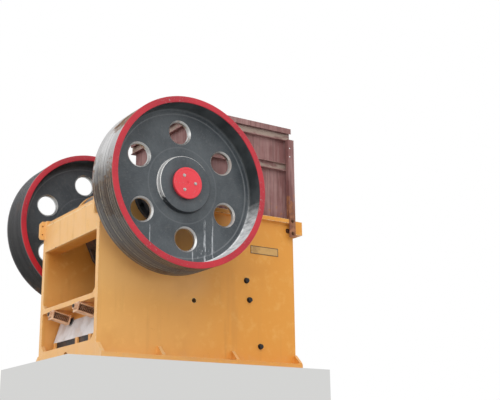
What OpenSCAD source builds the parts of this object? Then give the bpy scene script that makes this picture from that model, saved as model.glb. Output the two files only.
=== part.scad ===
// Single-toggle jaw crusher with a welded plate frame, two flywheels and a feed hopper.
// The front is the feed end and lies at +X, the left side lies at +Y, and the base is at z = 0.

/* [Frame] */
// Length of the side walls
frame_len = 2316; // [2150:1:2600]
// Width over the side walls
frame_w = 1364; // [1240:1:1600]
// Thickness of the side walls
wall_t = 58; // [45:1:75]
// Height of the side walls at the feed end
wall_h = 1612; // [1590:1:1700]
// Height of the side walls at the rear end
rear_wall_h = 1582; // [1500:1:1590]
// Radius of the wall's hump round the shaft
hump_r = 320; // [312:1:360]

// Distance between the ribs across the front wall
rib_pitch = 340; // [300:1:400]
// Length of the name plate
name_plate_w = 356; // [250:1:400]
// Height of the name plate
name_plate_h = 86; // [60:1:110]
// Distance of the name plate from the front end
name_plate_in = 206; // [120:1:300]
// Height of the name plate's lower edge above the base
name_plate_z = 1185; // [1000:1:1250]
// Height of the lugs at the rear end
lug_h = 197; // [150:1:240]
// Length of the lugs at the rear end
lug_l = 60; // [45:1:80]

/* [Base] */
// Width that the base flange stands out from the wall
foot_w = 122; // [80:1:160]
// Thickness of the base flange
foot_t = 40; // [25:1:60]
// Height of the foot gussets
gusset_h = 140; // [90:1:200]
// Thickness of the foot gussets
gusset_t = 34; // [20:1:50]
// Radius of the anchor bolt holes
anchor_r = 21; // [12:0.5:28]
// Distance along the frame between the outer anchor bolts
anchor_outer = 1580; // [1300:1:1900]
// Distance along the frame between the inner anchor bolts
anchor_inner = 250; // [180:1:400]
// Distance of the inner anchor bolts' middle from the frame's middle, along the frame
anchor_inner_x = -65; // [-200:1:100]

/* [Top flange] */
// Width that the top flange stands out from the wall
rim_flange_w = 46; // [25:1:90]
// Depth of the top flange
rim_flange_h = 48; // [30:1:70]

/* [Rear of the frame] */
// Depth of the upper box beam along the frame
rear_beam_d = 187; // [150:1:300]
// Height of the upper box beam
rear_beam_h = 343; // [250:1:400]
// Thickness of the beam plates
beam_t = 40; // [25:1:50]
// Height of the shelf plate above the base
shelf_z = 622; // [580:1:760]
// Thickness of the shelf plate
shelf_t = 50; // [30:1:60]
// Height of the lower cross beam
low_beam_h = 176; // [140:1:190]
// Length of the lower cross beam and the shelf along the frame
cross_d = 638; // [560:1:660]
// Radius of the hole in the lower cross beam
drain_r = 52; // [30:1:60]

/* [Toggle] */
// Distance of the light back plate from the rear end
back_plate_in = 125; // [100:1:180]
// Height of the back plate's lower edge
back_plate_z = 272; // [240:1:300]
// Height of the back plate
back_plate_h = 213; // [150:1:230]
// Thickness of the back plate
back_plate_t = 45; // [30:1:60]
// Lean of the back plate from upright, in degrees
back_lean = 18; // [0:0.5:22]
// Thickness of the ribs under the back plate
rib_t = 52; // [30:1:70]
// Width of the toggle plate
toggle_w = 1040; // [800:1:1100]
// Thickness of the toggle plate at its ends
toggle_t = 84; // [60:1:96]

/* [Tension rods] */
// Distance of each rod from the middle of the frame
rod_y = 300; // [220:1:420]
// Radius of the rods
rod_r = 19; // [14:0.5:24]
// Slope of the rods in degrees
rod_slope = 12.6; // [9:0.1:14]
// Mean radius of the springs
spring_r = 34; // [30:0.5:40]
// Length of the spring cages
cage_l = 200; // [170:1:230]

/* [Crushing chamber] */
// Gape of the jaws at the top
gape = 750; // [650:1:800]
// Setting of the jaws at the bottom
setting = 120; // [80:1:160]
// Height of the jaws' top above the base
chamber_top = 1560; // [1480:1:1580]
// Height of the jaws' bottom above the base
chamber_bottom = 190; // [170:1:240]
// Distance of the fixed jaw's top from the front end
fixed_in = 258; // [220:1:320]
// Lean of the fixed jaw in degrees
fixed_lean = 6; // [3:0.1:9]
// Thickness of the jaw plates over their teeth
jaw_t = 95; // [80:1:110]
// Height of the teeth
tooth_h = 34; // [20:1:40]
// Number of teeth on the fixed jaw
teeth = 13; // [9:1:16]
// Thickness of the cheek plates
cheek_t = 38; // [25:1:50]
// Gap between a jaw plate and the cheek plate
jaw_gap = 8; // [5:0.5:14]

/* [Swing jaw] */
// Radius of the swing jaw's head
head_r = 312; // [290:1:330]
// Gap between the swing jaw and each side wall
swing_gap = 34; // [16:1:60]
// Thickness of the swing jaw's ribs
jaw_rib_t = 48; // [30:1:70]
// Height of the tips of the swing jaw's rear ribs
rib_tip_z = 1192; // [1120:1:1240]
// Distance of those tips behind the shaft
rib_tip_in = 130; // [60:1:170]

/* [Shaft and bearings] */
// Height of the shaft above the base
shaft_h = 1650; // [1620:1:1700]
// Distance of the shaft from the rear end of the frame
shaft_in = 663; // [640:1:700]
// Radius of the shaft in its bearings and hubs
shaft_r = 120; // [90:1:130]
// Radius of the eccentric in the swing jaw's head
ecc_r = 146; // [135:1:160]
// Throw of the eccentric
throw = 12; // [6:0.5:16]
// Running clearance of the shaft in its bearings
run_gap = 0.5; // [0.3:0.1:1.5]
// Radius of the bearing housing
housing_r = 240; // [200:1:244]
// Radius of the bearing housing's flange
housing_flange_r = 302; // [294:1:310]
// Number of bolts that hold a bearing housing
housing_bolts = 12; // [8:1:16]

/* [Flywheels] */
// Radius of the flywheels
wheel_r = 850; // [700:1:900]
// Width of the flywheels
wheel_w = 422; // [360:1:500]
// Gap between the frame and the flywheels
wheel_gap = 204; // [185:1:260]
// Thickness of the rim
wheel_rim_t = 62; // [45:1:90]
// Thickness of the web
web_t = 62; // [40:1:90]
// Depth of the web behind the outer face
web_in = 184; // [150:1:210]
// Radius of the hub
hub_r = 280; // [250:1:300]
// Depth of the hub's face behind the outer face
hub_in = 128; // [105:1:150]
// Radius of the six holes in the web
hole_r = 110; // [80:1:120]
// Distance of the six holes from the axis
hole_ring = 534; // [470:1:580]
// Number of grooves in the drive flywheel
grooves = 14; // [6:1:16]
// Depth of the drive grooves
groove_h = 18; // [10:1:24]
// Radius of the round shaft covers
cover_r = 157; // [150:1:190]
// Depth of a cover's face behind the outer face
cover_in = 80; // [45:1:90]

/* [Hopper] */
// Height of the hopper
hopper_h = 1062; // [800:1:1200]
// Thickness of the hopper's plates
hopper_t = 14; // [8:1:20]
// Distance of the hopper's rear wall behind the fixed jaw's top
hopper_back = 992; // [900:1:996]
// Height of the rear wall's lower edge above the shaft, clear of the swing jaw
hopper_rear_low = 52; // [40:1:100]
// Depth of the hopper's channels
channel_d = 44; // [30:1:60]
// Height of the top channel
top_channel_h = 148; // [110:1:170]
// Height of the middle channel
mid_channel_h = 90; // [70:1:110]
// Height of the middle channel's top above the hopper's foot
mid_channel_z = 647; // [500:1:690]
// Thickness of the channels and corner angles
angle_t = 9; // [6:0.5:12]

/* [Hidden] */
$fn = 96;

RIGHT = -1;
LEFT = 1;

paint = [0.87, 0.58, 0.22];
paint_light = [0.93, 0.70, 0.36];
primer = [0.42, 0.27, 0.26];
bare = [0.80, 0.79, 0.78];
dark = [0.16, 0.16, 0.17];
wear_steel = [0.45, 0.45, 0.46];
cast_grey = [0.30, 0.32, 0.34];
signal_red = [0.80, 0.17, 0.20];
tan_metal = [0.72, 0.55, 0.38];

rear_x = -frame_len / 2;
front_x = frame_len / 2;
wall_y = frame_w / 2;
inner_y = wall_y - wall_t;
shaft_x = rear_x + shaft_in;
cross_front_x = rear_x + cross_d;
flank_a = 30;
saddle_x = hump_r * cos(flank_a) + (hump_r * sin(flank_a) + shaft_h - wall_h) * tan(flank_a);
seat_gap = 0.3;

fixed_top_x = front_x - fixed_in;
chamber_h = chamber_top - chamber_bottom;
fixed_bottom_x = fixed_top_x - chamber_h * tan(fixed_lean);
swing_top_x = fixed_top_x - gape;
swing_bottom_x = fixed_bottom_x - setting;
swing_lean = atan((swing_bottom_x - swing_top_x) / chamber_h);
fixed_len = chamber_h / cos(fixed_lean);
swing_len = chamber_h / cos(swing_lean);
cheek_y = inner_y - cheek_t;
jaw_y = cheek_y - jaw_gap;
swing_y = inner_y - swing_gap;

front_wall_t = 60;
front_wall_back = (jaw_t + seat_gap) / cos(fixed_lean);
front_wall_in = front_wall_back + front_wall_t / cos(fixed_lean);
lip_l = 132;
lip_t = 40;
lip_h = 153;

wheel_y = wall_y + wheel_gap;
wheel_out_y = wheel_y + wheel_w;
wheel_phase = 94;
web_z = wheel_w - web_in - web_t;
rim_seat_r = wheel_r - wheel_rim_t - 42;
cover_t = 24;
shaft_end_y = wheel_out_y - cover_in - cover_t;
spigot_l = 30;
housing_flange_t = 42;
housing_out = wheel_gap - 18;

rod_dx = cos(rod_slope);
rod_dz = -sin(rod_slope);
rod_start_x = rear_x - 42;
rod_start_z = 522;
cage_plate_t = 14;
cage_bar_t = 10;
cage_h = 100;
cage_w = 92;
rod_hole_r = rod_r + 8;

toggle_back_x = cross_front_x + 90;
toggle_back_z = 226;
toggle_front_x = swing_bottom_x - 512;
toggle_front_z = 128;
toggle_slope = atan((toggle_front_z - toggle_back_z) / (toggle_front_x - toggle_back_x));
toggle_len = norm([toggle_front_x - toggle_back_x, toggle_front_z - toggle_back_z]);

// Height of a rod's axis at x
function rod_z(x) = rod_start_z + (x - rod_start_x) * rod_dz / rod_dx;

jaw_foot_x = toggle_front_x + 10;
jaw_foot_top = rod_z(jaw_foot_x) + 2.5 * rod_r;
rod_len = (jaw_foot_x - seat_gap - rod_r * sin(rod_slope) - rod_start_x) / rod_dx;

rib_tip_x = shaft_x - rib_tip_in;
rib_tip_d = norm([rib_tip_in, shaft_h - rib_tip_z]);
rib_tangent = sqrt(rib_tip_d * rib_tip_d - head_r * head_r);
rib_rise = 180 - atan2(shaft_h - rib_tip_z, rib_tip_in) - asin(head_r / rib_tip_d);

hopper_z = wall_h;
hopper_top_z = hopper_z + hopper_h;
hopper_rear_x = fixed_top_x - hopper_back;
hopper_front_x = front_x;
hopper_y = wall_y - channel_d + 6;

// Puts a shape drawn along +Z on the shaft's axis, running towards +Y from y0
module on_shaft(y0) {
    translate([shaft_x, y0, shaft_h]) rotate([-90, 0, 0]) children();
}

// Extrudes a side view drawn in X and Z across the frame, from y0 to y1
module across(y0, y1) {
    translate([0, y1, 0]) rotate([90, 0, 0]) linear_extrude(y1 - y0) children();
}

// A block between two corners
module block(a, b) {
    translate(a) cube(b - a);
}

// The same shape on the right (-Y) or the left (+Y) side
module side(s) {
    if (s == LEFT) children();
    if (s == RIGHT) mirror([0, 1, 0]) children();
}

// The side wall's outline, with straight flanks that run up into the hump
module wall_outline() {
    polygon([[rear_x, 0], [front_x, 0], [front_x, wall_h], [shaft_x + saddle_x, wall_h],
        [shaft_x + hump_r * cos(flank_a), shaft_h + hump_r * sin(flank_a)],
        [shaft_x - hump_r * cos(flank_a), shaft_h + hump_r * sin(flank_a)],
        [shaft_x - saddle_x, wall_h], [rear_x, rear_wall_h]]);
    translate([shaft_x, shaft_h]) circle(hump_r);
}

wall_bolt_at = [[538, 885], [574, 684], [705, 208]];
port_at = [-96, 622];
port_r = 24;
bolt_r = 17;

module side_wall(s) {
    color(paint) side(s) difference() {
        across(inner_y, wall_y) wall_outline();
        on_shaft(inner_y - 1) cylinder(h = wall_t + 2, r = housing_r + seat_gap);
        for (p = wall_bolt_at)
            translate([p[0], inner_y - 1, p[1]]) rotate([-90, 0, 0])
                cylinder(h = wall_t + 2, r = bolt_r + seat_gap, $fn = 32);
        translate([port_at[0], inner_y - 1, port_at[1]]) rotate([-90, 0, 0])
            cylinder(h = wall_t + 2, r = port_r, $fn = 48);
    }
}

gusset_x = [rear_x + gusset_t / 2, shaft_x, (shaft_x + front_x) / 2 + 24, front_x - gusset_t / 2];
anchor_x = [-anchor_outer / 2, anchor_inner_x - anchor_inner / 2,
    anchor_inner_x + anchor_inner / 2, anchor_outer / 2];

module base_flange(s) {
    color(paint) side(s) {
        difference() {
            block([rear_x, wall_y, 0], [front_x, wall_y + foot_w, foot_t]);
            for (x = anchor_x)
                translate([x, wall_y + foot_w / 2, -1])
                    cylinder(h = foot_t + 2, r = anchor_r, $fn = 48);
        }
        for (x = gusset_x)
            translate([x - gusset_t / 2, 0, 0]) rotate([90, 0, 90]) linear_extrude(gusset_t)
                polygon([[wall_y, foot_t - 1], [wall_y + foot_w - 8, foot_t - 1],
                    [wall_y + foot_w - 8, foot_t + 12], [wall_y + 22, gusset_h],
                    [wall_y, gusset_h]]);
    }
}

module top_flange(s) {
    start_x = shaft_x + saddle_x + 6;
    color(paint_light) side(s)
        block([start_x, wall_y, wall_h - rim_flange_h], [front_x, wall_y + rim_flange_w, wall_h]);
}

module front_wall() {
    color(paint) across(-inner_y, inner_y)
        polygon([[front_face_x(wall_h) - front_wall_in + front_wall_back, wall_h],
            [fixed_bottom_x + front_wall_back, chamber_bottom],
            [fixed_bottom_x + front_wall_back, chamber_bottom - 26],
            [fixed_bottom_x + front_wall_back - 30, chamber_bottom - 26],
            [fixed_bottom_x + front_wall_back - 30, 0],
            [fixed_bottom_x + front_wall_in, 0],
            [fixed_bottom_x + front_wall_in, chamber_bottom],
            [front_face_x(wall_h), wall_h]]);
}

module front_ribs() {
    rib_z = [for (i = [0:1:3]) chamber_bottom + i * rib_pitch];
    color(paint) {
        for (z = rib_z)
            across(-inner_y, inner_y)
                polygon([[rib_root_x(z), z], [front_x - 26, z],
                    [front_x - 26, z + beam_t], [rib_root_x(z + beam_t), z + beam_t]]);
        for (i = [0:1:len(rib_z) - 2], y = [-1, 1] * inner_y * 0.353)
            across(y - rib_t / 2, y + rib_t / 2)
                polygon([[rib_root_x(rib_z[i] + beam_t), rib_z[i] + beam_t],
                    [front_x - 60, rib_z[i] + beam_t],
                    [front_x - 60, rib_z[i + 1]], [rib_root_x(rib_z[i + 1]), rib_z[i + 1]]]);
    }
}

// Outer face of the front wall at height z
function front_face_x(z) =
    fixed_bottom_x + front_wall_in + max(0, z - chamber_bottom) * tan(fixed_lean);

// Inner edge of a front rib at height z, clear of the wall by the seat gap
function rib_root_x(z) = front_face_x(z) + seat_gap;

module front_lip() {
    color(paint_light) {
        across(-wall_y, wall_y)
            polygon([[front_x, wall_h], [front_x, wall_h - lip_t],
                [front_x + lip_l - lip_t, wall_h - lip_t], [front_x + lip_l - lip_t, wall_h - lip_h],
                [front_x + lip_l, wall_h - lip_h], [front_x + lip_l, wall_h]]);
        for (s = [RIGHT, LEFT]) side(s)
            across(wall_y - lip_t, wall_y)
                polygon([[front_x, wall_h - lip_t], [front_x, wall_h - lip_h],
                    [front_x + lip_l - lip_t, wall_h - lip_h],
                    [front_x + lip_l - lip_t, wall_h - lip_t]]);
    }
}

module rear_upper_beam() {
    top_z = rear_wall_h;
    low_z = top_z - rear_beam_h;
    color(paint) difference() {
        across(-inner_y, inner_y)
            polygon([[rear_x, low_z], [rear_x + rear_beam_d, low_z],
                [rear_x + rear_beam_d, top_z], [rear_x + 40, top_z], [rear_x, top_z - 60]]);
        across(-inner_y - 1, inner_y + 1)
            polygon([[rear_x + beam_t, low_z + beam_t], [rear_x + rear_beam_d - beam_t, low_z + beam_t],
                [rear_x + rear_beam_d - beam_t, top_z - beam_t],
                [rear_x + 40 + beam_t / 2, top_z - beam_t], [rear_x + beam_t, top_z - 60 - beam_t / 2]]);
    }
}

module rear_lower_beam() {
    color(paint) difference() {
        union() {
            block([rear_x, -inner_y, 0], [rear_x + beam_t, inner_y, low_beam_h]);
            block([rear_x + beam_t, -inner_y, low_beam_h - beam_t],
                [cross_front_x, inner_y, low_beam_h]);
            block([cross_front_x - beam_t, -inner_y, 0],
                [cross_front_x, inner_y, low_beam_h - beam_t]);
            for (s = [RIGHT, LEFT]) side(s)
                translate([rear_x, inner_y, low_beam_h]) rotate([90, 0, 90])
                    linear_extrude(beam_t) polygon([[0, 0], [-62, 0], [0, 66]]);
        }
        translate([rear_x - 1, 0, 66]) rotate([0, 90, 0]) cylinder(h = beam_t + 2, r = drain_r);
    }
}

back_x = rear_x + back_plate_in;
rib_y = [-545, -293, 10, 545];

// Rear face of the leaning back plate at height z
function back_plate_x(z) = back_x + (z - back_plate_z) * tan(back_lean);

module leaning_plate(half_w, low_z, high_z) {
    across(-half_w, half_w)
        polygon([[back_plate_x(low_z), low_z], [back_plate_x(low_z) + back_plate_t, low_z],
            [back_plate_x(high_z) + back_plate_t, high_z], [back_plate_x(high_z), high_z]]);
}

module toggle_beam() {
    color(paint) difference() {
        union() {
            block([rear_x, -inner_y, shelf_z - shelf_t], [cross_front_x, inner_y, shelf_z]);
            leaning_plate(inner_y, back_plate_z + back_plate_h, shelf_z - shelf_t);
            block([cross_front_x - beam_t, -inner_y, low_beam_h],
                [cross_front_x, inner_y, shelf_z - shelf_t]);
            for (y = rib_y)
                block([back_x - 12, y - rib_t / 2, low_beam_h],
                    [cross_front_x - beam_t, y + rib_t / 2, back_plate_z]);
            for (s = [RIGHT, LEFT]) side(s)
                translate([rear_x, inner_y, shelf_z]) rotate([90, 0, 90])
                    linear_extrude(beam_t) polygon([[0, 0], [-56, 0], [0, 44]]);
        }
        for (s = [RIGHT, LEFT]) {
            rod_bore(s);
            nut_bore(s);
        }
    }
}

// Clearance bore along a tension rod
module rod_bore(s) {
    translate([rod_start_x, s * rod_y, rod_start_z]) rotate([0, 90 + rod_slope, 0])
        cylinder(h = rod_len, r = rod_hole_r, $fn = 48);
}

// Room for a rod's nuts through the back plate and the plate above it
module nut_bore(s) {
    on_rod(s, cage_l) rotate([0, 90, 0]) cylinder(h = 160, r = rod_r + 23, $fn = 48);
}

module toggle_back_plate() {
    plate_y = inner_y - 24;
    color(bare) difference() {
        leaning_plate(plate_y, back_plate_z, back_plate_z + back_plate_h);
        for (s = [RIGHT, LEFT]) nut_bore(s);
    }
}

module shim_packs() {
    color(dark) for (i = [0:1:len(rib_y) - 2])
        block([back_x + 6, rib_y[i] + rib_t / 2, low_beam_h],
            [back_x + back_plate_t, rib_y[i + 1] - rib_t / 2, back_plate_z]);
}

module toggle_seat() {
    color(cast_grey) difference() {
        block([cross_front_x, -toggle_w / 2 - 20, toggle_back_z - toggle_t],
            [toggle_back_x, toggle_w / 2 + 20, toggle_back_z + toggle_t]);
        translate([toggle_back_x, 0, toggle_back_z]) rotate([90, 0, 0])
            cylinder(h = toggle_w + 80, r = toggle_t / 2 + seat_gap, center = true);
    }
}

module toggle_plate() {
    half_t = toggle_t / 2;
    waist = 17;
    color(cast_grey) translate([toggle_back_x, 0, toggle_back_z]) rotate([0, -toggle_slope, 0])
        difference() {
            across(-toggle_w / 2, toggle_w / 2) {
                circle(half_t);
                translate([toggle_len, 0]) circle(half_t);
                polygon([[0, -half_t], [toggle_len * 0.24, -half_t + waist],
                    [toggle_len * 0.76, -half_t + waist], [toggle_len, -half_t],
                    [toggle_len, half_t], [toggle_len * 0.76, half_t - waist],
                    [toggle_len * 0.24, half_t - waist], [0, half_t]]);
            }
            for (y = [-0.34, 0, 0.34] * toggle_w)
                translate([toggle_len / 2, y, 0]) cylinder(h = toggle_t, r = 58, center = true);
        }
}

// Places a shape drawn along +X on a tension rod's axis
module on_rod(s, along) {
    translate([rod_start_x + along * rod_dx, s * rod_y, rod_start_z + along * rod_dz])
        rotate([0, rod_slope, 0]) children();
}

module hex_nut(r, l) {
    rotate([0, 90, 0]) cylinder(h = l, r = r, $fn = 6);
}

module tension_rods() {
    nut_l = 30;
    color(dark) for (s = [RIGHT, LEFT]) {
        on_rod(s, -36) rotate([0, 90, 0]) cylinder(h = rod_len + 36, r = rod_r, $fn = 48);
        on_rod(s, -24) hex_nut(rod_r + 15, 24 - seat_gap);
        on_rod(s, cage_l + seat_gap) hex_nut(rod_r + 17, nut_l);
        on_rod(s, cage_l + nut_l + 2 * seat_gap) hex_nut(rod_r + 13, 22);
    }
}

module spring_cages() {
    color(tan_metal) for (s = [RIGHT, LEFT]) {
        for (along = [0, cage_l - cage_plate_t]) on_rod(s, along) difference() {
            translate([0, -cage_w / 2, -cage_h / 2]) cube([cage_plate_t, cage_w, cage_h]);
            translate([-1, 0, 0]) rotate([0, 90, 0])
                cylinder(h = cage_plate_t + 2, r = rod_r + seat_gap, $fn = 48);
        }
        for (z = [-1, 1]) on_rod(s, cage_plate_t)
            translate([0, -cage_w / 2, z * (cage_h / 2 - 12) - cage_bar_t / 2])
                cube([cage_l - 2 * cage_plate_t, cage_w, cage_bar_t]);
    }
}

module springs() {
    inner = cage_l - 2 * cage_plate_t - 2 * seat_gap;
    coils = 8;
    wire_r = 5;
    color(dark) for (s = [RIGHT, LEFT])
        on_rod(s, cage_plate_t + seat_gap) rotate([0, 90, 0]) {
            for (i = [0:1:coils - 1])
                translate([0, 0, wire_r + i * (inner - 2 * wire_r) / (coils - 1)])
                    rotate_extrude($fn = 48) translate([spring_r - wire_r - 4, 0])
                        circle(wire_r, $fn = 16);
            difference() {
                cylinder(h = inner, r = spring_r - 2 * wire_r, $fn = 48);
                translate([0, 0, -1]) cylinder(h = inner + 2, r = rod_r + seat_gap, $fn = 48);
            }
        }
}

module swing_jaw_outline() {
    back_off = (jaw_t + seat_gap) / cos(swing_lean);
    polygon([[swing_top_x - back_off, chamber_top], [swing_bottom_x - back_off, chamber_bottom],
        [swing_bottom_x - back_off + 26, chamber_bottom - 74],
        [swing_bottom_x - back_off - 70, 62], [jaw_foot_x, 62],
        [jaw_foot_x, jaw_foot_top], [jaw_foot_x + 120, jaw_foot_top + 84],
        [rib_tip_x, rib_tip_z],
        [rib_tip_x - rib_tangent * cos(rib_rise), rib_tip_z + rib_tangent * sin(rib_rise)],
        [shaft_x + 160, shaft_h + 255], [shaft_x + 300, shaft_h + 60],
        [swing_top_x - back_off - 40, chamber_top + 60]]);
}

module swing_jaw() {
    wall = 138;
    back_off = (jaw_t + seat_gap) / cos(swing_lean);
    rib_at = [-swing_y, -swing_y / 3, swing_y / 3, swing_y];
    color(cast_grey) difference() {
        union() {
            across(-swing_y, swing_y) swing_jaw_outline();
            translate([shaft_x, swing_y, shaft_h]) rotate([90, 0, 0])
                cylinder(h = 2 * swing_y, r = head_r);
        }
        translate([shaft_x, swing_y + 1, shaft_h]) rotate([90, 0, 0])
            cylinder(h = 2 * swing_y + 2, r = ecc_r + throw + 5);
        for (i = [0:1:2])
            across(rib_at[i] + jaw_rib_t * (i == 0 ? 1 : 0.5),
                rib_at[i + 1] - jaw_rib_t * (i == 2 ? 1 : 0.5))
                polygon([[swing_top_x - back_off - 170, shaft_h - head_r - 48],
                    [swing_bottom_x - back_off - wall, chamber_bottom + 214],
                    [toggle_front_x - 60, 404], [rib_tip_x - 70, rib_tip_z - 62],
                    [rib_tip_x - 135, rib_tip_z + 138],
                    [shaft_x - 60, shaft_h - head_r - 40], [shaft_x + 60, shaft_h - head_r - 40]]);
        translate([toggle_front_x, 0, toggle_front_z]) rotate([90, 0, 0])
            cylinder(h = toggle_w + 40, r = toggle_t / 2 + seat_gap, center = true);
        across(-toggle_w / 2 - 20, toggle_w / 2 + 20)
            polygon([[toggle_front_x + 10, toggle_front_z],
                [toggle_front_x - 60, toggle_front_z + 84],
                [toggle_front_x - 60, toggle_front_z - 70]]);
    }
}

module teeth_profile(count, offset) {
    pitch = 2 * jaw_y / teeth;
    polygon(concat([[-jaw_t, -jaw_y]],
        [for (i = [0:1:count - 1], p = [[-tooth_h, 0.06], [0, 0.36], [0, 0.64], [-tooth_h, 0.94]])
            [p[0], -jaw_y + offset + (i + p[1]) * pitch]],
        [[-jaw_t, jaw_y]]));
}

module fixed_jaw_plate() {
    color(wear_steel) translate([fixed_bottom_x, 0, chamber_bottom]) rotate([0, fixed_lean, 0])
        mirror([1, 0, 0]) linear_extrude(fixed_len) teeth_profile(teeth, 0);
}

module swing_jaw_plate() {
    pitch = 2 * jaw_y / teeth;
    color(wear_steel) translate([swing_bottom_x, 0, chamber_bottom]) rotate([0, -swing_lean, 0])
        linear_extrude(swing_len) teeth_profile(teeth - 1, pitch / 2);
}

module jaw_clamps() {
    clamp_n = 4;
    clamp_w = 150;
    back_off = jaw_t / cos(swing_lean);
    color(wear_steel) for (i = [0:1:clamp_n - 1]) {
        y = (i - (clamp_n - 1) / 2) * 2 * jaw_y / clamp_n;
        across(y - clamp_w / 2, y + clamp_w / 2)
            polygon([[swing_top_x - back_off - 40, chamber_top + 60],
                [swing_top_x - back_off, chamber_top], [swing_top_x - tooth_h - 8, chamber_top],
                [swing_top_x - tooth_h - 20, chamber_top + 46],
                [swing_top_x - back_off - 14, chamber_top + 84]]);
    }
}

module cheek_plate(s) {
    top_in = 6;
    color(wear_steel) side(s) across(cheek_y, inner_y)
        polygon([[swing_top_x + top_in - 60, chamber_top], [swing_bottom_x - 60, chamber_bottom],
            [fixed_bottom_x + jaw_t, chamber_bottom], [fixed_top_x + jaw_t, chamber_top]]);
}

module wall_bolts(s) {
    color(dark) side(s) for (p = wall_bolt_at)
        translate([p[0], inner_y, p[1]]) rotate([-90, 0, 0]) {
            cylinder(h = wall_t, r = bolt_r, $fn = 32);
            translate([0, 0, wall_t]) cylinder(h = 7, r = bolt_r + 13, $fn = 32);
            translate([0, 0, wall_t]) cylinder(h = 26, r = bolt_r + 9, $fn = 6);
        }
}

module bearing_housing(s) {
    color(cast_grey) side(s) difference() {
        union() {
            on_shaft(wall_y - spigot_l) cylinder(h = spigot_l + housing_out, r = housing_r);
            on_shaft(wall_y) cylinder(h = housing_flange_t, r = housing_flange_r);
            on_shaft(wall_y + housing_flange_t) for (i = [0:1:housing_bolts - 1])
                rotate([0, 0, i * 360 / housing_bolts])
                    translate([(housing_r + housing_flange_r) / 2, 0, 0])
                        cylinder(h = 18, r = 20, $fn = 6);
        }
        on_shaft(wall_y - spigot_l - 1)
            cylinder(h = spigot_l + housing_out + 2, r = shaft_r + run_gap);
    }
}

module eccentric_shaft() {
    color(wear_steel) {
        on_shaft(-shaft_end_y) cylinder(h = 2 * shaft_end_y, r = shaft_r);
        translate([shaft_x, swing_y - 30, shaft_h - throw]) rotate([90, 0, 0])
            cylinder(h = 2 * swing_y - 60, r = ecc_r);
    }
}

// Half section of a flywheel's web and hub, with r outward and the width upward
module wheel_centre_section() {
    polygon([[shaft_r + seat_gap, 0], [hub_r - 34, 0], [hub_r - 8, 26], [hub_r + 4, web_z - 20],
        [hub_r + 26, web_z], [rim_seat_r - seat_gap, web_z], [rim_seat_r - seat_gap, web_z + web_t],
        [hub_r + 20, web_z + web_t], [hub_r + 3, web_z + web_t + 17],
        [hub_r, wheel_w - hub_in - 14], [hub_r - 14, wheel_w - hub_in],
        [shaft_r + seat_gap, wheel_w - hub_in]]);
}

// Half section of a flywheel's rim, with its inner swell where it takes the web
module wheel_rim_section() {
    in_r = wheel_r - wheel_rim_t;
    polygon([[rim_seat_r, web_z], [in_r - 10, web_z - 32], [in_r, 8], [in_r + 8, 0],
        [wheel_r - 6, 0], [wheel_r, 6], [wheel_r, wheel_w - 6], [wheel_r - 6, wheel_w],
        [in_r + 8, wheel_w], [in_r, wheel_w - 8], [in_r - 10, web_z + web_t + 32],
        [rim_seat_r, web_z + web_t]]);
}

module flywheel(s) {
    bevel = 16;
    color(cast_grey) side(s) on_shaft(wheel_y) difference() {
        rotate_extrude($fn = 160) wheel_centre_section();
        for (i = [0:1:5]) rotate([0, 0, -wheel_phase - i * 60]) translate([hole_ring, 0, 0]) {
            translate([0, 0, web_z - 1]) cylinder(h = web_t + 2, r = hole_r);
            translate([0, 0, web_z + web_t - bevel])
                cylinder(h = bevel + 1, r1 = hole_r, r2 = hole_r + bevel + 1);
            translate([0, 0, web_z - 1])
                cylinder(h = bevel + 1, r1 = hole_r + bevel + 1, r2 = hole_r);
        }
    }
}

module wheel_rim_right() {
    color(signal_red) side(RIGHT) on_shaft(wheel_y) rotate_extrude($fn = 160) wheel_rim_section();
}

module wheel_rim_left() {
    belt_w = wheel_w - 54;
    pitch = belt_w / grooves;
    color(signal_red) on_shaft(wheel_y) difference() {
        rotate_extrude($fn = 160) wheel_rim_section();
        for (i = [0:1:grooves - 1])
            rotate_extrude($fn = 160) translate([wheel_r, 27 + (i + 0.5) * pitch])
                polygon([[1, -pitch * 0.36], [-groove_h, -pitch * 0.2],
                    [-groove_h, pitch * 0.2], [1, pitch * 0.36]]);
    }
}

module shaft_cover(s) {
    bolt_ring = cover_r * 0.52;
    bolt_phase = 2;
    color(signal_red) side(s) {
        on_shaft(wheel_out_y - hub_in) difference() {
            cylinder(h = hub_in - cover_in - cover_t, r = cover_r - 12);
            translate([0, 0, -1]) cylinder(h = hub_in, r = shaft_r + seat_gap);
        }
        on_shaft(shaft_end_y) {
            cylinder(h = cover_t - 5, r = cover_r);
            translate([0, 0, cover_t - 5]) cylinder(h = 5, r1 = cover_r, r2 = cover_r - 5);
            for (i = [0:1:2]) rotate([0, 0, -bolt_phase - i * 120])
                translate([bolt_ring, 0, cover_t - 2]) cylinder(h = 12, r = 13, $fn = 6);
        }
    }
}

// A channel drawn in the plane across its run, with its back at x = 0 and its flanges outward
module channel_profile(h) {
    polygon([[0, 0], [channel_d, 0], [channel_d, angle_t], [angle_t, angle_t],
        [angle_t, h - angle_t], [channel_d, h - angle_t], [channel_d, h], [0, h]]);
}

module hopper_side(s) {
    color(primer) side(s)
        block([hopper_rear_x, hopper_y - hopper_t, hopper_z], [hopper_front_x, hopper_y, hopper_top_z]);
}

module hopper_rear_wall() {
    low_z = max(hopper_z, shaft_h + hopper_rear_low);
    color(primer) block([hopper_rear_x, -hopper_y + hopper_t, low_z],
        [hopper_rear_x + hopper_t, hopper_y - hopper_t, hopper_top_z]);
}

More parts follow.
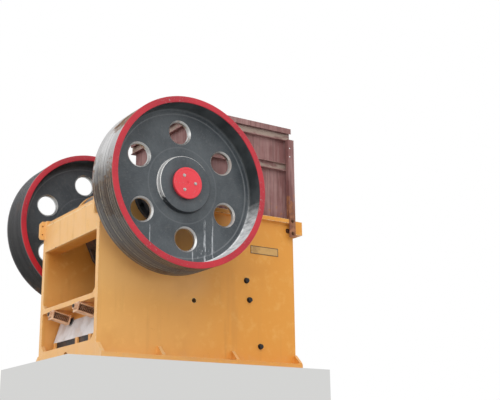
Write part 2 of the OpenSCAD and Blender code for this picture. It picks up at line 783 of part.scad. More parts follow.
module hopper_frame() {
    runs = [[hopper_top_z - top_channel_h, top_channel_h],
        [hopper_z + mid_channel_z - mid_channel_h, mid_channel_h]];
    color(primer) for (c = runs) {
        for (s = [RIGHT, LEFT]) side(s)
            translate([hopper_rear_x - channel_d, hopper_y, c[0]]) rotate([90, 0, 90])
                linear_extrude(hopper_front_x - hopper_rear_x + channel_d) channel_profile(c[1]);
        translate([hopper_rear_x, hopper_y, c[0]]) rotate([90, 0, 0])
            linear_extrude(2 * hopper_y) mirror([1, 0]) channel_profile(c[1]);
    }
    color(primer) for (s = [RIGHT, LEFT]) side(s)
        block([hopper_rear_x, hopper_y, hopper_z], [hopper_front_x, wall_y, hopper_z + angle_t]);
}

module hopper_post(s) {
    leg_w = 80;
    post_low = wall_h - 204;
    post_high = hopper_top_z - top_channel_h;
    hole_at = [post_high - 101, post_high - 198];
    out_y = wall_y + rim_flange_w;
    leg_x = front_x - leg_w;
    color(primer) side(s) difference() {
        union() {
            block([leg_x, hopper_y + channel_d, wall_h], [leg_x + angle_t, out_y + angle_t, post_high]);
            block([leg_x, out_y, post_low], [leg_x + leg_w, out_y + angle_t, post_high]);
        }
        for (z = hole_at)
            translate([leg_x + leg_w / 3, out_y - 1, z]) rotate([-90, 0, 0])
                cylinder(h = angle_t + 2, r = 9, $fn = 32);
    }
}

// Lugs at the rear end of the walls, each with two holes for a belt guard
module rear_lugs() {
    lug_t = 30;
    high_z = rear_wall_h - 4;
    low_z = high_z - lug_h;
    color(paint) for (s = [RIGHT, LEFT]) side(s) difference() {
        across(wall_y - lug_t, wall_y)
            polygon([[rear_x, low_z], [rear_x - lug_l + 14, low_z], [rear_x - lug_l, low_z + 26],
                [rear_x - lug_l, high_z - 30], [rear_x - lug_l + 26, high_z], [rear_x, high_z]]);
        for (z = [low_z + 52, low_z + 142])
            translate([rear_x - lug_l / 2, wall_y - lug_t - 1, z]) rotate([-90, 0, 0])
                cylinder(h = lug_t + 2, r = 9, $fn = 32);
    }
}

module name_plate() {
    plate_x = front_x - name_plate_in;
    color(bare) block([plate_x - name_plate_w, -wall_y - 3, name_plate_z],
        [plate_x, -wall_y, name_plate_z + name_plate_h]);
}

side_wall(RIGHT);  // side_wall_right
side_wall(LEFT);  // side_wall_left
base_flange(RIGHT);  // base_flange_right
base_flange(LEFT);  // base_flange_left
top_flange(RIGHT);  // top_flange_right
top_flange(LEFT);  // top_flange_left
front_wall();
front_ribs();
front_lip();
rear_upper_beam();
rear_lower_beam();
toggle_beam();
toggle_back_plate();
shim_packs();
toggle_seat();
toggle_plate();
tension_rods();
spring_cages();
springs();
swing_jaw();
swing_jaw_plate();
fixed_jaw_plate();
jaw_clamps();
cheek_plate(RIGHT);  // cheek_plate_right
cheek_plate(LEFT);  // cheek_plate_left
wall_bolts(RIGHT);  // wall_bolts_right
wall_bolts(LEFT);  // wall_bolts_left
bearing_housing(RIGHT);  // bearing_housing_right
bearing_housing(LEFT);  // bearing_housing_left
eccentric_shaft();
flywheel(RIGHT);  // flywheel_right
flywheel(LEFT);  // flywheel_left
wheel_rim_right();
wheel_rim_left();
shaft_cover(RIGHT);  // shaft_cover_right
shaft_cover(LEFT);  // shaft_cover_left
hopper_side(RIGHT);  // hopper_side_right
hopper_side(LEFT);  // hopper_side_left
hopper_rear_wall();
hopper_frame();
hopper_post(RIGHT);  // hopper_post_right
hopper_post(LEFT);  // hopper_post_left
rear_lugs();
name_plate();
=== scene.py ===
import math

import bmesh
import bpy
from mathutils import Matrix, Vector


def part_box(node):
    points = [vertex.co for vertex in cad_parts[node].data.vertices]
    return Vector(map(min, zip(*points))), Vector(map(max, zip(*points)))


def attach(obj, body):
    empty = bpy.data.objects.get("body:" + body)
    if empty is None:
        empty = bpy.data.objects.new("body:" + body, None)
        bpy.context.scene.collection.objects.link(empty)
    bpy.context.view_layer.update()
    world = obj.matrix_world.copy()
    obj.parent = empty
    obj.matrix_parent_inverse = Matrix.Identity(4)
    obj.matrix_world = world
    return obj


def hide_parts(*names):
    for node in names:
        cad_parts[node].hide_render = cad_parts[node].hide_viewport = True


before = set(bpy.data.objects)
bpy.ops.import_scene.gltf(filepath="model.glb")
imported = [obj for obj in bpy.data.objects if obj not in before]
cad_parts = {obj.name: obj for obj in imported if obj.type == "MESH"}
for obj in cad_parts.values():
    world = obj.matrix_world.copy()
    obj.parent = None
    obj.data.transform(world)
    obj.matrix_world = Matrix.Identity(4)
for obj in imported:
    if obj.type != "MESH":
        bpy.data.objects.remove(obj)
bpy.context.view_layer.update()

# The stage. A pale floor that can be looked through from below, because the machine is seen from
# under its own base, a plain plinth that hides its open underside, and soft overcast light with
# a broad and weak sun at the right rear.
scene = bpy.context.scene
scene.view_settings.view_transform = "Standard"


def placed(name, data):
    """A new object in the scene that holds the given mesh, camera or lamp."""
    new = bpy.data.objects.new(name, data)
    scene.collection.objects.link(new)
    return new


camera = placed("camera", bpy.data.cameras.new("camera"))
camera_at, sight = (-5.119, -9.033, -1.039), Vector((0.54427, 0.79522, 0.26720))
camera_right = Vector((0.82693, -0.56220, -0.01120))
camera_up = camera_right.cross(sight)
turn = Matrix((camera_right, camera_up, -sight)).transposed().to_4x4()
camera.matrix_world = Matrix.Translation(camera_at) @ turn
camera.data.lens, camera.data.clip_end = 70.61, 300
scene.camera = camera


class Wire:
    """A socket in a node tree. Sums on it add Math nodes, and add() adds any other node."""

    def __init__(self, tree, socket=None):
        self.tree, self.socket = tree, socket

    def add(self, kind, sockets=None, out=0, **settings):
        made = self.tree.nodes.new(kind)
        for key, value in settings.items():
            setattr(made, key, value)
        self.feed(made, sockets or {})
        return Wire(self.tree, made.outputs[out])

    def feed(self, node, sockets):
        """Gives the inputs of a node their values and wires."""
        for key, value in sockets.items():
            if isinstance(value, Wire):
                self.tree.links.new(value.socket, node.inputs[key])
            else:
                node.inputs[key].default_value = value

    def into(self, node):
        """Ends the tree in its own node of that name."""
        self.feed(self.tree.nodes[node], {0: self})

    def math(self, operation, *values):
        return self.add("ShaderNodeMath", dict(enumerate(values)), operation=operation)

    def __add__(self, other):
        return self.math("ADD", self, other)

    def __sub__(self, other):
        return self.math("SUBTRACT", self, other)

    def __rsub__(self, other):
        return self.math("SUBTRACT", other, self)

    def __mul__(self, other):
        return self.math("MULTIPLY", self, other)

    def __truediv__(self, other):
        return self.math("DIVIDE", self, other)

    def __abs__(self):
        return self.math("ABSOLUTE", self)

    __radd__, __rmul__ = __add__, __mul__


world = bpy.data.worlds.new("overcast")
scene.world = world
world.use_nodes = True
sky = Wire(world.node_tree)
seen = sum(sky.add("ShaderNodeLightPath", out="Is " + kind + " Ray")
           for kind in ("Camera", "Glossy", "Transmission"))
height = sky.add("ShaderNodeSeparateXYZ", {0: sky.add("ShaderNodeTexCoord", out="Generated")}, 2)
lit = sky.add("ShaderNodeMapRange", {"Value": height, "From Min": -0.25, "From Max": 0.30,
                                     "To Min": 0.42, "To Max": 0.90})
overcast = sky.add("ShaderNodeBackground", {"Color": (0.97, 0.985, 1.0, 1), "Strength": lit})
white = sky.add("ShaderNodeBackground", {"Color": (1, 1, 1, 1), "Strength": 1.0})
sky.add("ShaderNodeMixShader", {0: seen, 1: overcast, 2: white}).into("World Output")

key = placed("key", bpy.data.lights.new("key", "SUN"))
key.data.energy, key.data.angle = 1.40, math.radians(80)
key.rotation_euler = Vector((-0.52, -0.64, 0.565)).to_track_quat("Z", "Y").to_euler()


def sheet_of(name, corners, faces):
    """A mesh object from corner points and faces."""
    mesh = bpy.data.meshes.new(name)
    mesh.from_pydata(corners, [], faces)
    return placed(name, mesh)


def oblong(x, y):
    """The corners of an oblong round the middle, from its half sizes."""
    return (-x, -y), (x, -y), (x, y), (-x, y)


def shader_tree(name):
    """A new material, and a wire into its tree."""
    material = bpy.data.materials.new(name)
    material.use_nodes = True
    return material, Wire(material.node_tree)


def coat(piece, *looks):
    """Gives a piece its materials, in the order of their numbers."""
    for look in looks:
        piece.data.materials.append(look)
    return piece


floor_half = 60
floor = sheet_of("floor", [(x, y, 0) for x, y in oblong(floor_half, floor_half)],
                 [(0, 1, 2, 3)])
floor_look, under = shader_tree("floor")
pale = under.add("ShaderNodeBsdfDiffuse", {"Color": (0.62, 0.62, 0.61, 1)})
from_below = (under.add("ShaderNodeNewGeometry", out="Backfacing")
              * under.add("ShaderNodeLightPath", out="Is Camera Ray"))
clear = under.add("ShaderNodeBsdfTransparent")
under.add("ShaderNodeMixShader", {0: from_below, 1: pale, 2: clear}).into("Material Output")
coat(floor, floor_look)

plinth_x, plinth_y, plinth_low, plinth_top = 1.50, 0.825, -1.4, -0.002
plinth = sheet_of("plinth",
                  [(x, y, z) for z in (plinth_low, plinth_top)
                   for x, y in oblong(plinth_x, plinth_y)],
                  [(0, 1, 5, 4), (1, 2, 6, 5), (2, 3, 7, 6), (3, 0, 4, 7), (4, 5, 6, 7)])
plinth_look, slab = shader_tree("plinth")
glow = slab.add("ShaderNodeEmission", {"Color": (0.66, 0.66, 0.65, 1), "Strength": 1.0})
glow.into("Material Output")
coat(plinth, plinth_look)

# The welded frame. Side walls, beams, flanges and ribs are cut from thick steel plate, welded
# together and sprayed with orange-yellow paint. Years outdoors left dust, thin rain streaks and
# chips along the cut edges, where the steel shows. The edges are painted pale, partly as worn
# paint and partly as a painted highlight, painted shade darkens the inner faces and the port's
# bore, and painted light brightens the lower inner faces, the rear ends and the walls below the
# wheels.


def finish(name):
    """A new material, and a wire that gives the place on the piece."""
    material, tree = shader_tree(name)
    return material, tree.add("ShaderNodeTexCoord", out="Object")


def drive(material, **sockets):
    """Gives a material's shader its values and wires, and gives the material back."""
    tree = material.node_tree
    Wire(tree).feed(tree.nodes["Principled BSDF"],
                    {key.replace("_", " "): value for key, value in sockets.items()})
    return material


def noise(at, scale, detail, rough=0.55, stretch=(1, 1, 1)):
    """Noise between about 0.3 and 0.7, with scale in waves to a metre."""
    if stretch != (1, 1, 1):
        at = at.add("ShaderNodeVectorMath", {0: at, 1: stretch}, operation="MULTIPLY")
    return at.add("ShaderNodeTexNoise",
                  {"Vector": at, "Scale": scale, "Detail": detail, "Roughness": rough})


def ramp(value, low, high, to=(0.0, 1.0)):
    """Rises smoothly between the two numbers."""
    return value.add("ShaderNodeMapRange", {"Value": value, "From Min": low, "From Max": high,
                                            "To Min": to[0], "To Max": to[1]},
                     interpolation_type="SMOOTHSTEP")


def blend(below, above, share):
    """One colour over another, where share is 1."""
    below, above = (c if isinstance(c, Wire) else (*c, 1) for c in (below, above))
    return share.add("ShaderNodeMix", {0: share, 6: below, 7: above}, 2, data_type="RGBA")


def coats(colour, *layers):
    """Coats of paint, dirt and rust over a first colour, each with the share that it covers."""
    for above, share in layers:
        colour = blend(colour, above, share)
    return colour


def between(value, low, high):
    """Noise, brought from its own range of 0.3 to 0.7 to another one."""
    return ramp(value, 0.3, 0.7, (low, high))


def axis(at, number):
    return at.add("ShaderNodeSeparateXYZ", {0: at}, number)


def facing(at, number):
    """How far a face looks along an axis, from -1 to 1."""
    return axis(at.add("ShaderNodeNewGeometry", out="Normal"), number)


def bump(height, strength, distance):
    return height.add("ShaderNodeBump",
                      {"Strength": strength, "Distance": distance, "Height": height})


def off_axis(x, z):
    """How far off an axis a place lies."""
    square = x * x + z * z
    return square.math("SQRT", square)


wall_out, wall_in, rear_end, front_end = 0.682, 0.624, -1.158, 1.158
port_x, port_z, port_r = -0.096, 0.622, 0.024


def frame_paint(name, wear_and_edge_highlight):
    """Orange-yellow paint on plate, with painted shade and painted light in places. Wear from 0 to
    1 is how much of the steel shows, and how much of the face is painted pale, partly as worn paint
    and partly as a painted highlight.
    """
    material, at = finish(name)
    broad, small, grit = noise(at, 1.4, 4.0), noise(at, 11.0, 5.0, 0.6), noise(at, 60.0, 4.0, 0.65)
    x, y, z = axis(at, 0), axis(at, 1), axis(at, 2)
    rearward = ramp(x + broad * 0.9, 1.35, -0.75)
    # Painted shade: the inner faces of the walls take a darker, redder colour than the outer ones.
    inside = (ramp(abs(y), wall_in + 0.006, wall_in + 0.0005)
              * ramp(x, rear_end + 0.001, rear_end + 0.058) * ramp(x, 0.86, 0.80))
    # Painted light: the lower part of the inner faces is lighter than their shaded upper part.
    lit_lower_inside = inside * ramp(z + broad * 0.3, 1.42, 0.95)
    # Painted shadow: the inner faces from the middle of the frame forwards turn near black.
    painted_shadow_deep_in = inside * ramp(x + broad * 0.2, -0.30, -0.14)
    # Painted shade: the bore of the round port in the wall is near black.
    port_shade = ramp(off_axis(x - port_x, z - port_z), port_r + 0.003, port_r)
    # Painted light: the outer faces of the walls below and behind the wheels are lighter, against
    # the wheels' shadow.
    lit_behind_wheel = ramp(x + broad * 0.3, 0.32, -0.05) * ramp(z, 0.50, 0.85) * (1 - inside)
    # Painted highlight: faces at the rear end that look rearwards are paler.
    lit_rear_end = ramp(facing(at, 0), -0.70, -0.95) * ramp(x, rear_end + 0.016, rear_end + 0.002)
    streak = ramp(noise(at, 9.0, 4.0, 0.6, (1, 1, 0.07)), 0.55, 0.70) * ramp(broad, 0.40, 0.56)
    splash = ramp(z + small * 0.30, 0.26, 0.08) * (1 - inside)
    dust_and_painted_light = ramp(facing(at, 2), 0.35, 0.95) * 0.42 + splash * 0.22
    rust = ramp(noise(at, 5.0, 6.0, 0.75) + grit * 0.25 + wear_and_edge_highlight * 0.05, 0.80, 0.86)
    chipped = ramp(grit + small * 0.5 + wear_and_edge_highlight * 0.16, 0.99, 1.05)
    colour = coats(
        blend((0.77, 0.325, 0.048), (0.80, 0.43, 0.130), rearward * 0.8),
        ((0.60, 0.205, 0.018), inside * 0.7),
        ((0.86, 0.44, 0.13), lit_lower_inside * 0.75),
        ((0.085, 0.055, 0.040), painted_shadow_deep_in * 0.85),
        ((0.030, 0.020, 0.014), port_shade * 0.92),
        ((0.93, 0.56, 0.22), lit_behind_wheel * 0.45),
        ((0.92, 0.57, 0.27), lit_rear_end * 0.42),
        ((0.60, 0.235, 0.035), ramp(broad, 0.46, 0.30) * 0.25),
        ((0.88, 0.50, 0.15), ramp(small, 0.50, 0.72) * 0.30),
        ((0.50, 0.21, 0.05), streak * 0.20),
        ((0.66, 0.50, 0.32), dust_and_painted_light),
        ((0.42, 0.15, 0.04), rust * 0.55),
        # Partly worn paint and partly a painted highlight: the pale cream on the rounded edges.
        ((0.90, 0.70, 0.42), ramp(grit, 0.40, 0.54) * wear_and_edge_highlight),
        ((0.20, 0.095, 0.05), chipped))
    return drive(
        material, Base_Color=colour, Specular_IOR_Level=0.38,
        Roughness=between(small, 0.34, 0.52) + dust_and_painted_light * 0.4 + chipped * 0.3 + rust * 0.2,
        Normal=bump(noise(at, 340.0, 2.0) * 0.35 + small - chipped * 0.5, 0.30, 0.0016))


paint, paint_edge = frame_paint("frame_paint", 0.0), frame_paint("frame_paint_edge", 1.0)


def round_edges(piece, width):
    """Rounds a piece's edges, which take its second finish."""
    rounded = piece.modifiers.new("rounded", "BEVEL")
    rounded.width, rounded.segments, rounded.limit_method = width, 2, "ANGLE"
    rounded.angle_limit, rounded.material = math.radians(32), 1


def dress(names, width, face, edge=None):
    """Gives CAD nodes their finish and rounds their edges, which take a finish of their own."""
    for name in names:
        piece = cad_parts[name]
        piece.data.materials.clear()
        coat(piece, face, edge or face)
        piece.modifiers.new("joined", "WELD").merge_threshold = 0.00004
        flat = piece.modifiers.new("flat", "DECIMATE")
        flat.decimate_type, flat.angle_limit = "DISSOLVE", math.radians(0.4)
        round_edges(piece, width)
        piece.modifiers.new("shading", "WEIGHTED_NORMAL").keep_sharp = True


frame_nodes = ["side_wall_right", "side_wall_left", "base_flange_right", "base_flange_left",
               "top_flange_right", "top_flange_left", "front_wall", "front_ribs", "front_lip",
               "rear_upper_beam", "rear_lower_beam", "toggle_beam", "rear_lugs"]
dress(frame_nodes, 0.005, paint, paint_edge)

# The welds of the frame. Fillet welds run along every joint between the plates, a little uneven,
# and are sprayed over with the same paint.


def settled(piece, sharp=34.0):
    """Merges doubles, points the faces outwards, and shades smooth but for the sharp edges."""
    shape = bmesh.new()
    shape.from_mesh(piece.data)
    bmesh.ops.remove_doubles(shape, verts=shape.verts, dist=0.00002)
    bmesh.ops.delete(shape, geom=[e for e in shape.edges if not e.link_faces], context="EDGES")
    bmesh.ops.delete(shape, geom=[v for v in shape.verts if not v.link_faces], context="VERTS")
    bmesh.ops.recalc_face_normals(shape, faces=shape.faces)
    for face in shape.faces:
        face.smooth = True
    for edge in shape.edges:
        edge.smooth = edge.calc_face_angle(0.0) < math.radians(sharp)
    shape.to_mesh(piece.data)
    shape.free()
    return piece


def growth(name, inputs):
    """A geometry tree that takes and gives a mesh, with its named inputs as wires."""
    tree = bpy.data.node_groups.new(name, "GeometryNodeTree")
    tree.interface.new_socket("Geometry", in_out="OUTPUT", socket_type="NodeSocketGeometry")
    for label, kind in {"Geometry": "Geometry", **inputs, "Material": "Material"}.items():
        tree.interface.new_socket(label, in_out="INPUT", socket_type="NodeSocket" + kind)
    start = tree.nodes.new("NodeGroupInput")
    return tree, {s.name: Wire(tree, s) for s in start.outputs if s.name}


def grown(geometry, given):
    """Ends a geometry tree: instances become real, and the mesh takes its material."""
    real = geometry.add("GeometryNodeRealizeInstances", {0: geometry})
    real = real.add("GeometryNodeSetMaterial",
                    {"Geometry": real, "Material": given["Material"]})
    real.feed(real.tree.nodes.new("NodeGroupOutput"), {0: real})


def grow(piece, tree, **values):
    """Runs a geometry tree on a piece and leaves the result as the piece's plain mesh."""
    modifier = piece.modifiers.new(tree.name, "NODES")
    modifier.node_group = tree
    for item in tree.interface.items_tree:
        label = item.name.replace(" ", "_")
        if item.in_out == "INPUT" and label in values:
            modifier[item.identifier] = values[label]
    graph = bpy.context.evaluated_depsgraph_get()
    mesh = bpy.data.meshes.new_from_object(piece.evaluated_get(graph), depsgraph=graph)
    piece.modifiers.clear()
    piece.data = mesh
    return piece


beading, given = growth("weld_bead", {"Throat": "Float", "Step": "Float", "Ripple": "Float"})
throat, step = given["Throat"], given["Step"]
run = step.add("GeometryNodeMeshToCurve", {0: given["Geometry"]})
run = run.add("GeometryNodeResampleCurve", {"Curve": run, "Length": step}, mode="LENGTH")
section = run.add("GeometryNodeCurvePrimitiveCircle", {"Resolution": 6, "Radius": throat})
bead = run.add("GeometryNodeCurveToMesh",
               {"Curve": run, "Profile Curve": section, "Fill Caps": True})
uneven = run.add("ShaderNodeTexNoise", {"Vector": run.add("GeometryNodeInputPosition"),
                                        "Scale": 75.0, "Detail": 1.0}) - 0.5
swell = run.add("ShaderNodeVectorMath", {
    0: run.add("GeometryNodeInputNormal"), "Scale": uneven * throat * given["Ripple"]},
    operation="SCALE")
bead = bead.add("GeometryNodeSetPosition", {"Geometry": bead, "Offset": swell})
bead = bead.add("GeometryNodeSetShadeSmooth", {"Geometry": bead})
grown(bead, given)


def welds(name, runs, throat):
    """Weld beads along straight runs, each given by the corners that it passes."""
    corners, edges = [], []
    for run in runs:
        edges += [(len(corners) + i, len(corners) + i + 1) for i in range(len(run) - 1)]
        corners += run
    mesh = bpy.data.meshes.new(name)
    mesh.from_pydata(corners, edges, [])
    piece = grow(placed(name, mesh), beading, Throat=throat, Step=0.011, Ripple=1.3,
                 Material=paint)
    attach(piece, "root")


def on_wall(y, *places):
    """A run along a wall, from the places x, z that it passes."""
    return [(x, y, z) for x, z in places]


foot_out, foot_top, gusset_top, gusset_half = 0.796, 0.040, 0.140, 0.017
gusset_at = (-1.141, -0.495, 0.3555, 1.141)
top_flange_rear, top_flange_low = -0.098, 1.564
lug_y, lug_low, lug_high = wall_out - 0.030, 1.385, 1.575
upper_low, upper_top, upper_front = 1.239, 1.575, -0.971
shelf_low, shelf_top, beam_low, beam_front, back_plate_x = 0.572, 0.622, 0.176, -0.520, -0.930
rib_low, rib_step, rib_deep, rib_root, rib_end = 0.190, 0.340, 0.040, 0.9128, front_end - 0.030
front_lean = math.radians(6)
foot_welds, beam_welds, rib_welds = [], [], []
for s in (-1, 1):
    foot_welds.append(on_wall(s * wall_out, (rear_end, foot_top), (front_end, foot_top)))
    for middle in gusset_at:
        for x in (middle - gusset_half, middle + gusset_half):
            if abs(x) < front_end - 0.001:
                foot_welds.append([(x, s * foot_out, foot_top), (x, s * wall_out, foot_top),
                                   (x, s * wall_out, gusset_top)])
    foot_welds += [on_wall(s * wall_out, (top_flange_rear, top_flange_low),
                           (front_end, top_flange_low)),
                   on_wall(s * lug_y, (rear_end, lug_low), (rear_end, lug_high))]
    beam_welds += [on_wall(s * wall_in, *places) for places in (
        ((rear_end, upper_low), (upper_front, upper_low), (upper_front, upper_top)),
        ((rear_end, shelf_top), (beam_front, shelf_top)),
        ((beam_front, beam_low), (beam_front, shelf_low)),
        ((rear_end, shelf_low), (back_plate_x, shelf_low)),
        ((rear_end + 0.042, beam_low), (beam_front - 0.010, beam_low)))]
    for i in range(4):
        for z in (rib_low + i * rib_step, rib_low + i * rib_step + rib_deep):
            root = rib_root + max(0.0, z - rib_low) * math.tan(front_lean)
            rib_welds.append([(root, 0, z), (root, s * wall_in, z), (rib_end, s * wall_in, z)])
welds("foot_welds", foot_welds, 0.0085)
welds("beam_welds", beam_welds, 0.0085)
welds("rib_welds", rib_welds, 0.0075)

# The two flywheels. Each is one iron casting, turned on a lathe, with a dished web, six holes and
# a raised hub. The web is painted dark grey and the rim's faces red, the outer skin and the holes
# are bare, and the left one has grooves for V belts.
shaft_x, shaft_z = -0.495, 1.650
wheel_y, wheel_w, wheel_r, rim_in_r = 0.886, 0.422, 0.850, 0.788
web_low, web_high, web_step, hub_face, hub_r, bore_r = 0.176, 0.238, 0.004, 0.294, 0.280, 0.1205
hole_ring, hole_r, hole_phase = 0.534, 0.110, math.radians(94)


def filleted(corners, steps=5):
    """Points of a closed outline whose corners, each with its radius, are rounded."""
    out, count = [], len(corners)
    for i, (r, w, radius) in enumerate(corners):
        here = Vector((r, w))
        back = Vector(corners[i - 1][:2]) - here
        ahead = Vector(corners[(i + 1) % count][:2]) - here
        if radius == 0 or back.angle(ahead) > 3.10:
            out.append((r, w))
            continue
        half = back.angle(ahead) / 2
        reach = min(radius / math.tan(half), 0.49 * back.length, 0.49 * ahead.length)
        back, ahead = back.normalized(), ahead.normalized()
        a, b = here + back * reach, here + ahead * reach
        middle = here + (back + ahead).normalized() * reach / math.cos(half)
        arc = reach * math.tan(half)
        for k in range(steps + 1):
            spoke = (a - middle).lerp(b - middle, k / steps)
            out.append(tuple(middle + spoke.normalized() * arc))
    return out


def turned(name, outline, segments, place):
    """A closed ring turned from an outline. place gives a point from radius, width and angle."""
    count = len(outline)
    corners = [place(r, w, math.tau * k / segments) for k in range(segments) for r, w in outline]
    faces = [(k * count + i, k * count + (i + 1) % count,
              (k + 1) % segments * count + (i + 1) % count, (k + 1) % segments * count + i)
             for k in range(segments) for i in range(count)]
    return settled(sheet_of(name, corners, faces))


def round_axis(sign, out=0.0, x=shaft_x, z=shaft_z):
    """The place function of turned(), for pieces that lie round the shaft or another axis."""
    return lambda r, w, a: (x + r * math.cos(a), sign * (out + w), z + r * math.sin(a))


drilling, given = growth("drilled_web", {"Cutter": "Object", "Count": "Int", "Ring": "Float",
                                         "Phase": "Float", "Centre": "Vector"})
ring = given["Count"].add("GeometryNodeMeshCircle",
                          {"Vertices": given["Count"], "Radius": given["Ring"]})
swing = ring.add("ShaderNodeCombineXYZ", {0: math.pi / 2, 1: given["Phase"] * -1.0})
ring = ring.add("GeometryNodeTransform",
                {"Geometry": ring, "Rotation": swing, "Translation": given["Centre"]})
tool = ring.add("GeometryNodeObjectInfo", {"Object": given["Cutter"]}, "Geometry")
tools = ring.add("GeometryNodeInstanceOnPoints", {"Points": ring, "Instance": tool})
tools = tools.add("GeometryNodeRealizeInstances", {0: tools})
drilled = tools.add("GeometryNodeMeshBoolean", {0: given["Geometry"], 1: tools},
                    operation="DIFFERENCE")
grown(drilled, given)


def off_shaft(at):
    """The place on a piece, with x and z counted from the shaft."""
    return axis(at, 0) - shaft_x, axis(at, 1), axis(at, 2) - shaft_z


def turning_marks(way, scale, detail, rough=0.5):
    """Noise that changes one way only, like the marks that a lathe tool leaves."""
    return way.add("ShaderNodeTexNoise", {"W": way, "Scale": scale, "Detail": detail,
                                          "Roughness": rough}, noise_dimensions="1D")


def wheel_paint(name):
    """Dark grey paint on a turned casting, with turning marks, dust and white drips."""
    material, at = finish(name)
    x, y, z = off_shaft(at)
    r = off_axis(x, z)
    broad, small = noise(at, 3.2, 4.0), noise(at, 26.0, 5.0, 0.65)
    round_it = x.math("ARCTAN2", z, x)
    across_it = at.add("ShaderNodeCombineXYZ", {0: round_it * 9.0, 1: r * 3.0, 2: y})
    brushed = noise(across_it, 9.0, 4.0, 0.7)
    rings = [((0.22, 0.23, 0.24), ramp(abs(r - ring_at + broad * 0.01), 0.010, 0.002) * strength)
             for ring_at, strength in ((0.385, 0.20), (0.728, 0.45))]
    near = ramp(y, -0.90, -1.0)
    ragged = noise(at, 34.0, 4.0, 0.7, (1, 1, 0.22))
    drips = 0.0
    for drip_x, drip_w, low, high in ((0.250, 0.016, -0.78, -0.30), (0.340, 0.011, -0.74, -0.22),
                                      (-0.355, 0.009, -0.64, -0.42), (0.115, 0.008, -0.80, -0.62)):
        side = abs(x - drip_x + (ragged - 0.5) * 0.020)
        one = (ramp(side, drip_w, drip_w * 0.3) * ramp(z, high, high - 0.05)
               * ramp(z, low, low + 0.05) * ramp(ragged, 0.40, 0.58))
        drips = one + drips
    chalk = (ramp(noise(at, 46.0, 5.0, 0.75, (1, 1, 0.4)), 0.56, 0.66)
             * ramp(abs(x - 0.27), 0.15, 0.03) * ramp(z, -0.50, -0.62))
    white_marks = (drips * 0.65 + chalk * 0.70) * near
    colour = coats(
        blend((0.043, 0.052, 0.060), (0.078, 0.090, 0.099), ramp(broad, 0.34, 0.66)),
        ((0.15, 0.145, 0.14), ramp(small, 0.52, 0.75) * 0.35),
        ((0.20, 0.21, 0.22), ramp(brushed, 0.52, 0.74) * 0.30),
        ((0.028, 0.034, 0.040), ramp(brushed, 0.46, 0.28) * 0.45), *rings,
        ((0.62, 0.64, 0.66), white_marks.math("MINIMUM", white_marks, 0.8)))
    grooved = turning_marks(r, 210.0, 3.0) * 0.5
    return drive(
        material, Base_Color=colour, Roughness=between(small, 0.30, 0.46),
        Normal=bump(grooved + small * 0.4 + brushed * 0.4, 0.35, 0.0012))


def hub_side_paint(name):
    """The hub's side, with a painted highlight of bright metal on its upper rear quarter and
    painted shade, black, below it.
    """
    material, at = finish(name)
    x, _, z = off_shaft(at)
    ragged = noise(at, 24.0, 4.0, 0.7)
    # Painted highlight on the upper rear quarter, painted shade below it.
    painted_highlight = ramp(z * 0.75 - x * 0.55 + (ragged - 0.5) * 0.22, -0.02, 0.06)
    return drive(
        material, Base_Color=blend((0.022, 0.026, 0.030), (0.78, 0.77, 0.75), painted_highlight),
        Metallic=painted_highlight * 0.35, Roughness=between(ragged, 0.26, 0.42),
        Normal=bump(ragged, 0.25, 0.0010))


def dusted_rim(name):
    """Dark paint inside the rim, with a pale painted reflection of light on its lower front part,
    which faces up.
    """
    material, at = finish(name)
    x, _, z = off_shaft(at)
    broad, ragged = noise(at, 4.0, 4.0), noise(at, 20.0, 5.0, 0.7, (1, 0.3, 1))
    # Painted reflection: the lower front part of the inner rim, which faces up, turns pale.
    share = (x * 0.30 - z * 0.95) / rim_in_r
    dust_and_painted_light = ramp(share + (ragged - 0.5) * 0.40, 0.34, 0.76)
    pale = blend((0.50, 0.51, 0.52), (0.80, 0.80, 0.80), ramp(ragged, 0.32, 0.56))
    dark = blend((0.026, 0.032, 0.034), (0.060, 0.068, 0.072), ramp(broad, 0.36, 0.64))
    return drive(
        material, Base_Color=blend(dark, pale, dust_and_painted_light * 0.92),
        Roughness=between(ragged, 0.34, 0.50) + dust_and_painted_light * 0.15, Normal=bump(ragged, 0.3, 0.0014))


def red_paint(name, base, dark):
    """Bright red paint, faded in patches, with a few small chips."""
    material, at = finish(name)
    broad, small = noise(at, 3.0, 3.0), noise(at, 38.0, 5.0, 0.7)
    chips = ramp(noise(at, 70.0, 4.0, 0.7) + broad * 0.35, 0.840, 0.870)
    colour = coats(base, (dark, ramp(broad, 0.38, 0.62) * 0.55),
                   ((0.74, 0.22, 0.20), ramp(small, 0.55, 0.72) * 0.16),
                   ((0.34, 0.30, 0.28), chips))
    return drive(
        material, Base_Color=colour, Roughness=between(small, 0.30, 0.44) + chips * 0.2,
        Normal=bump(noise(at, 300.0, 2.0) * 0.3 + small * 0.5 - chips * 0.6, 0.25, 0.0012))


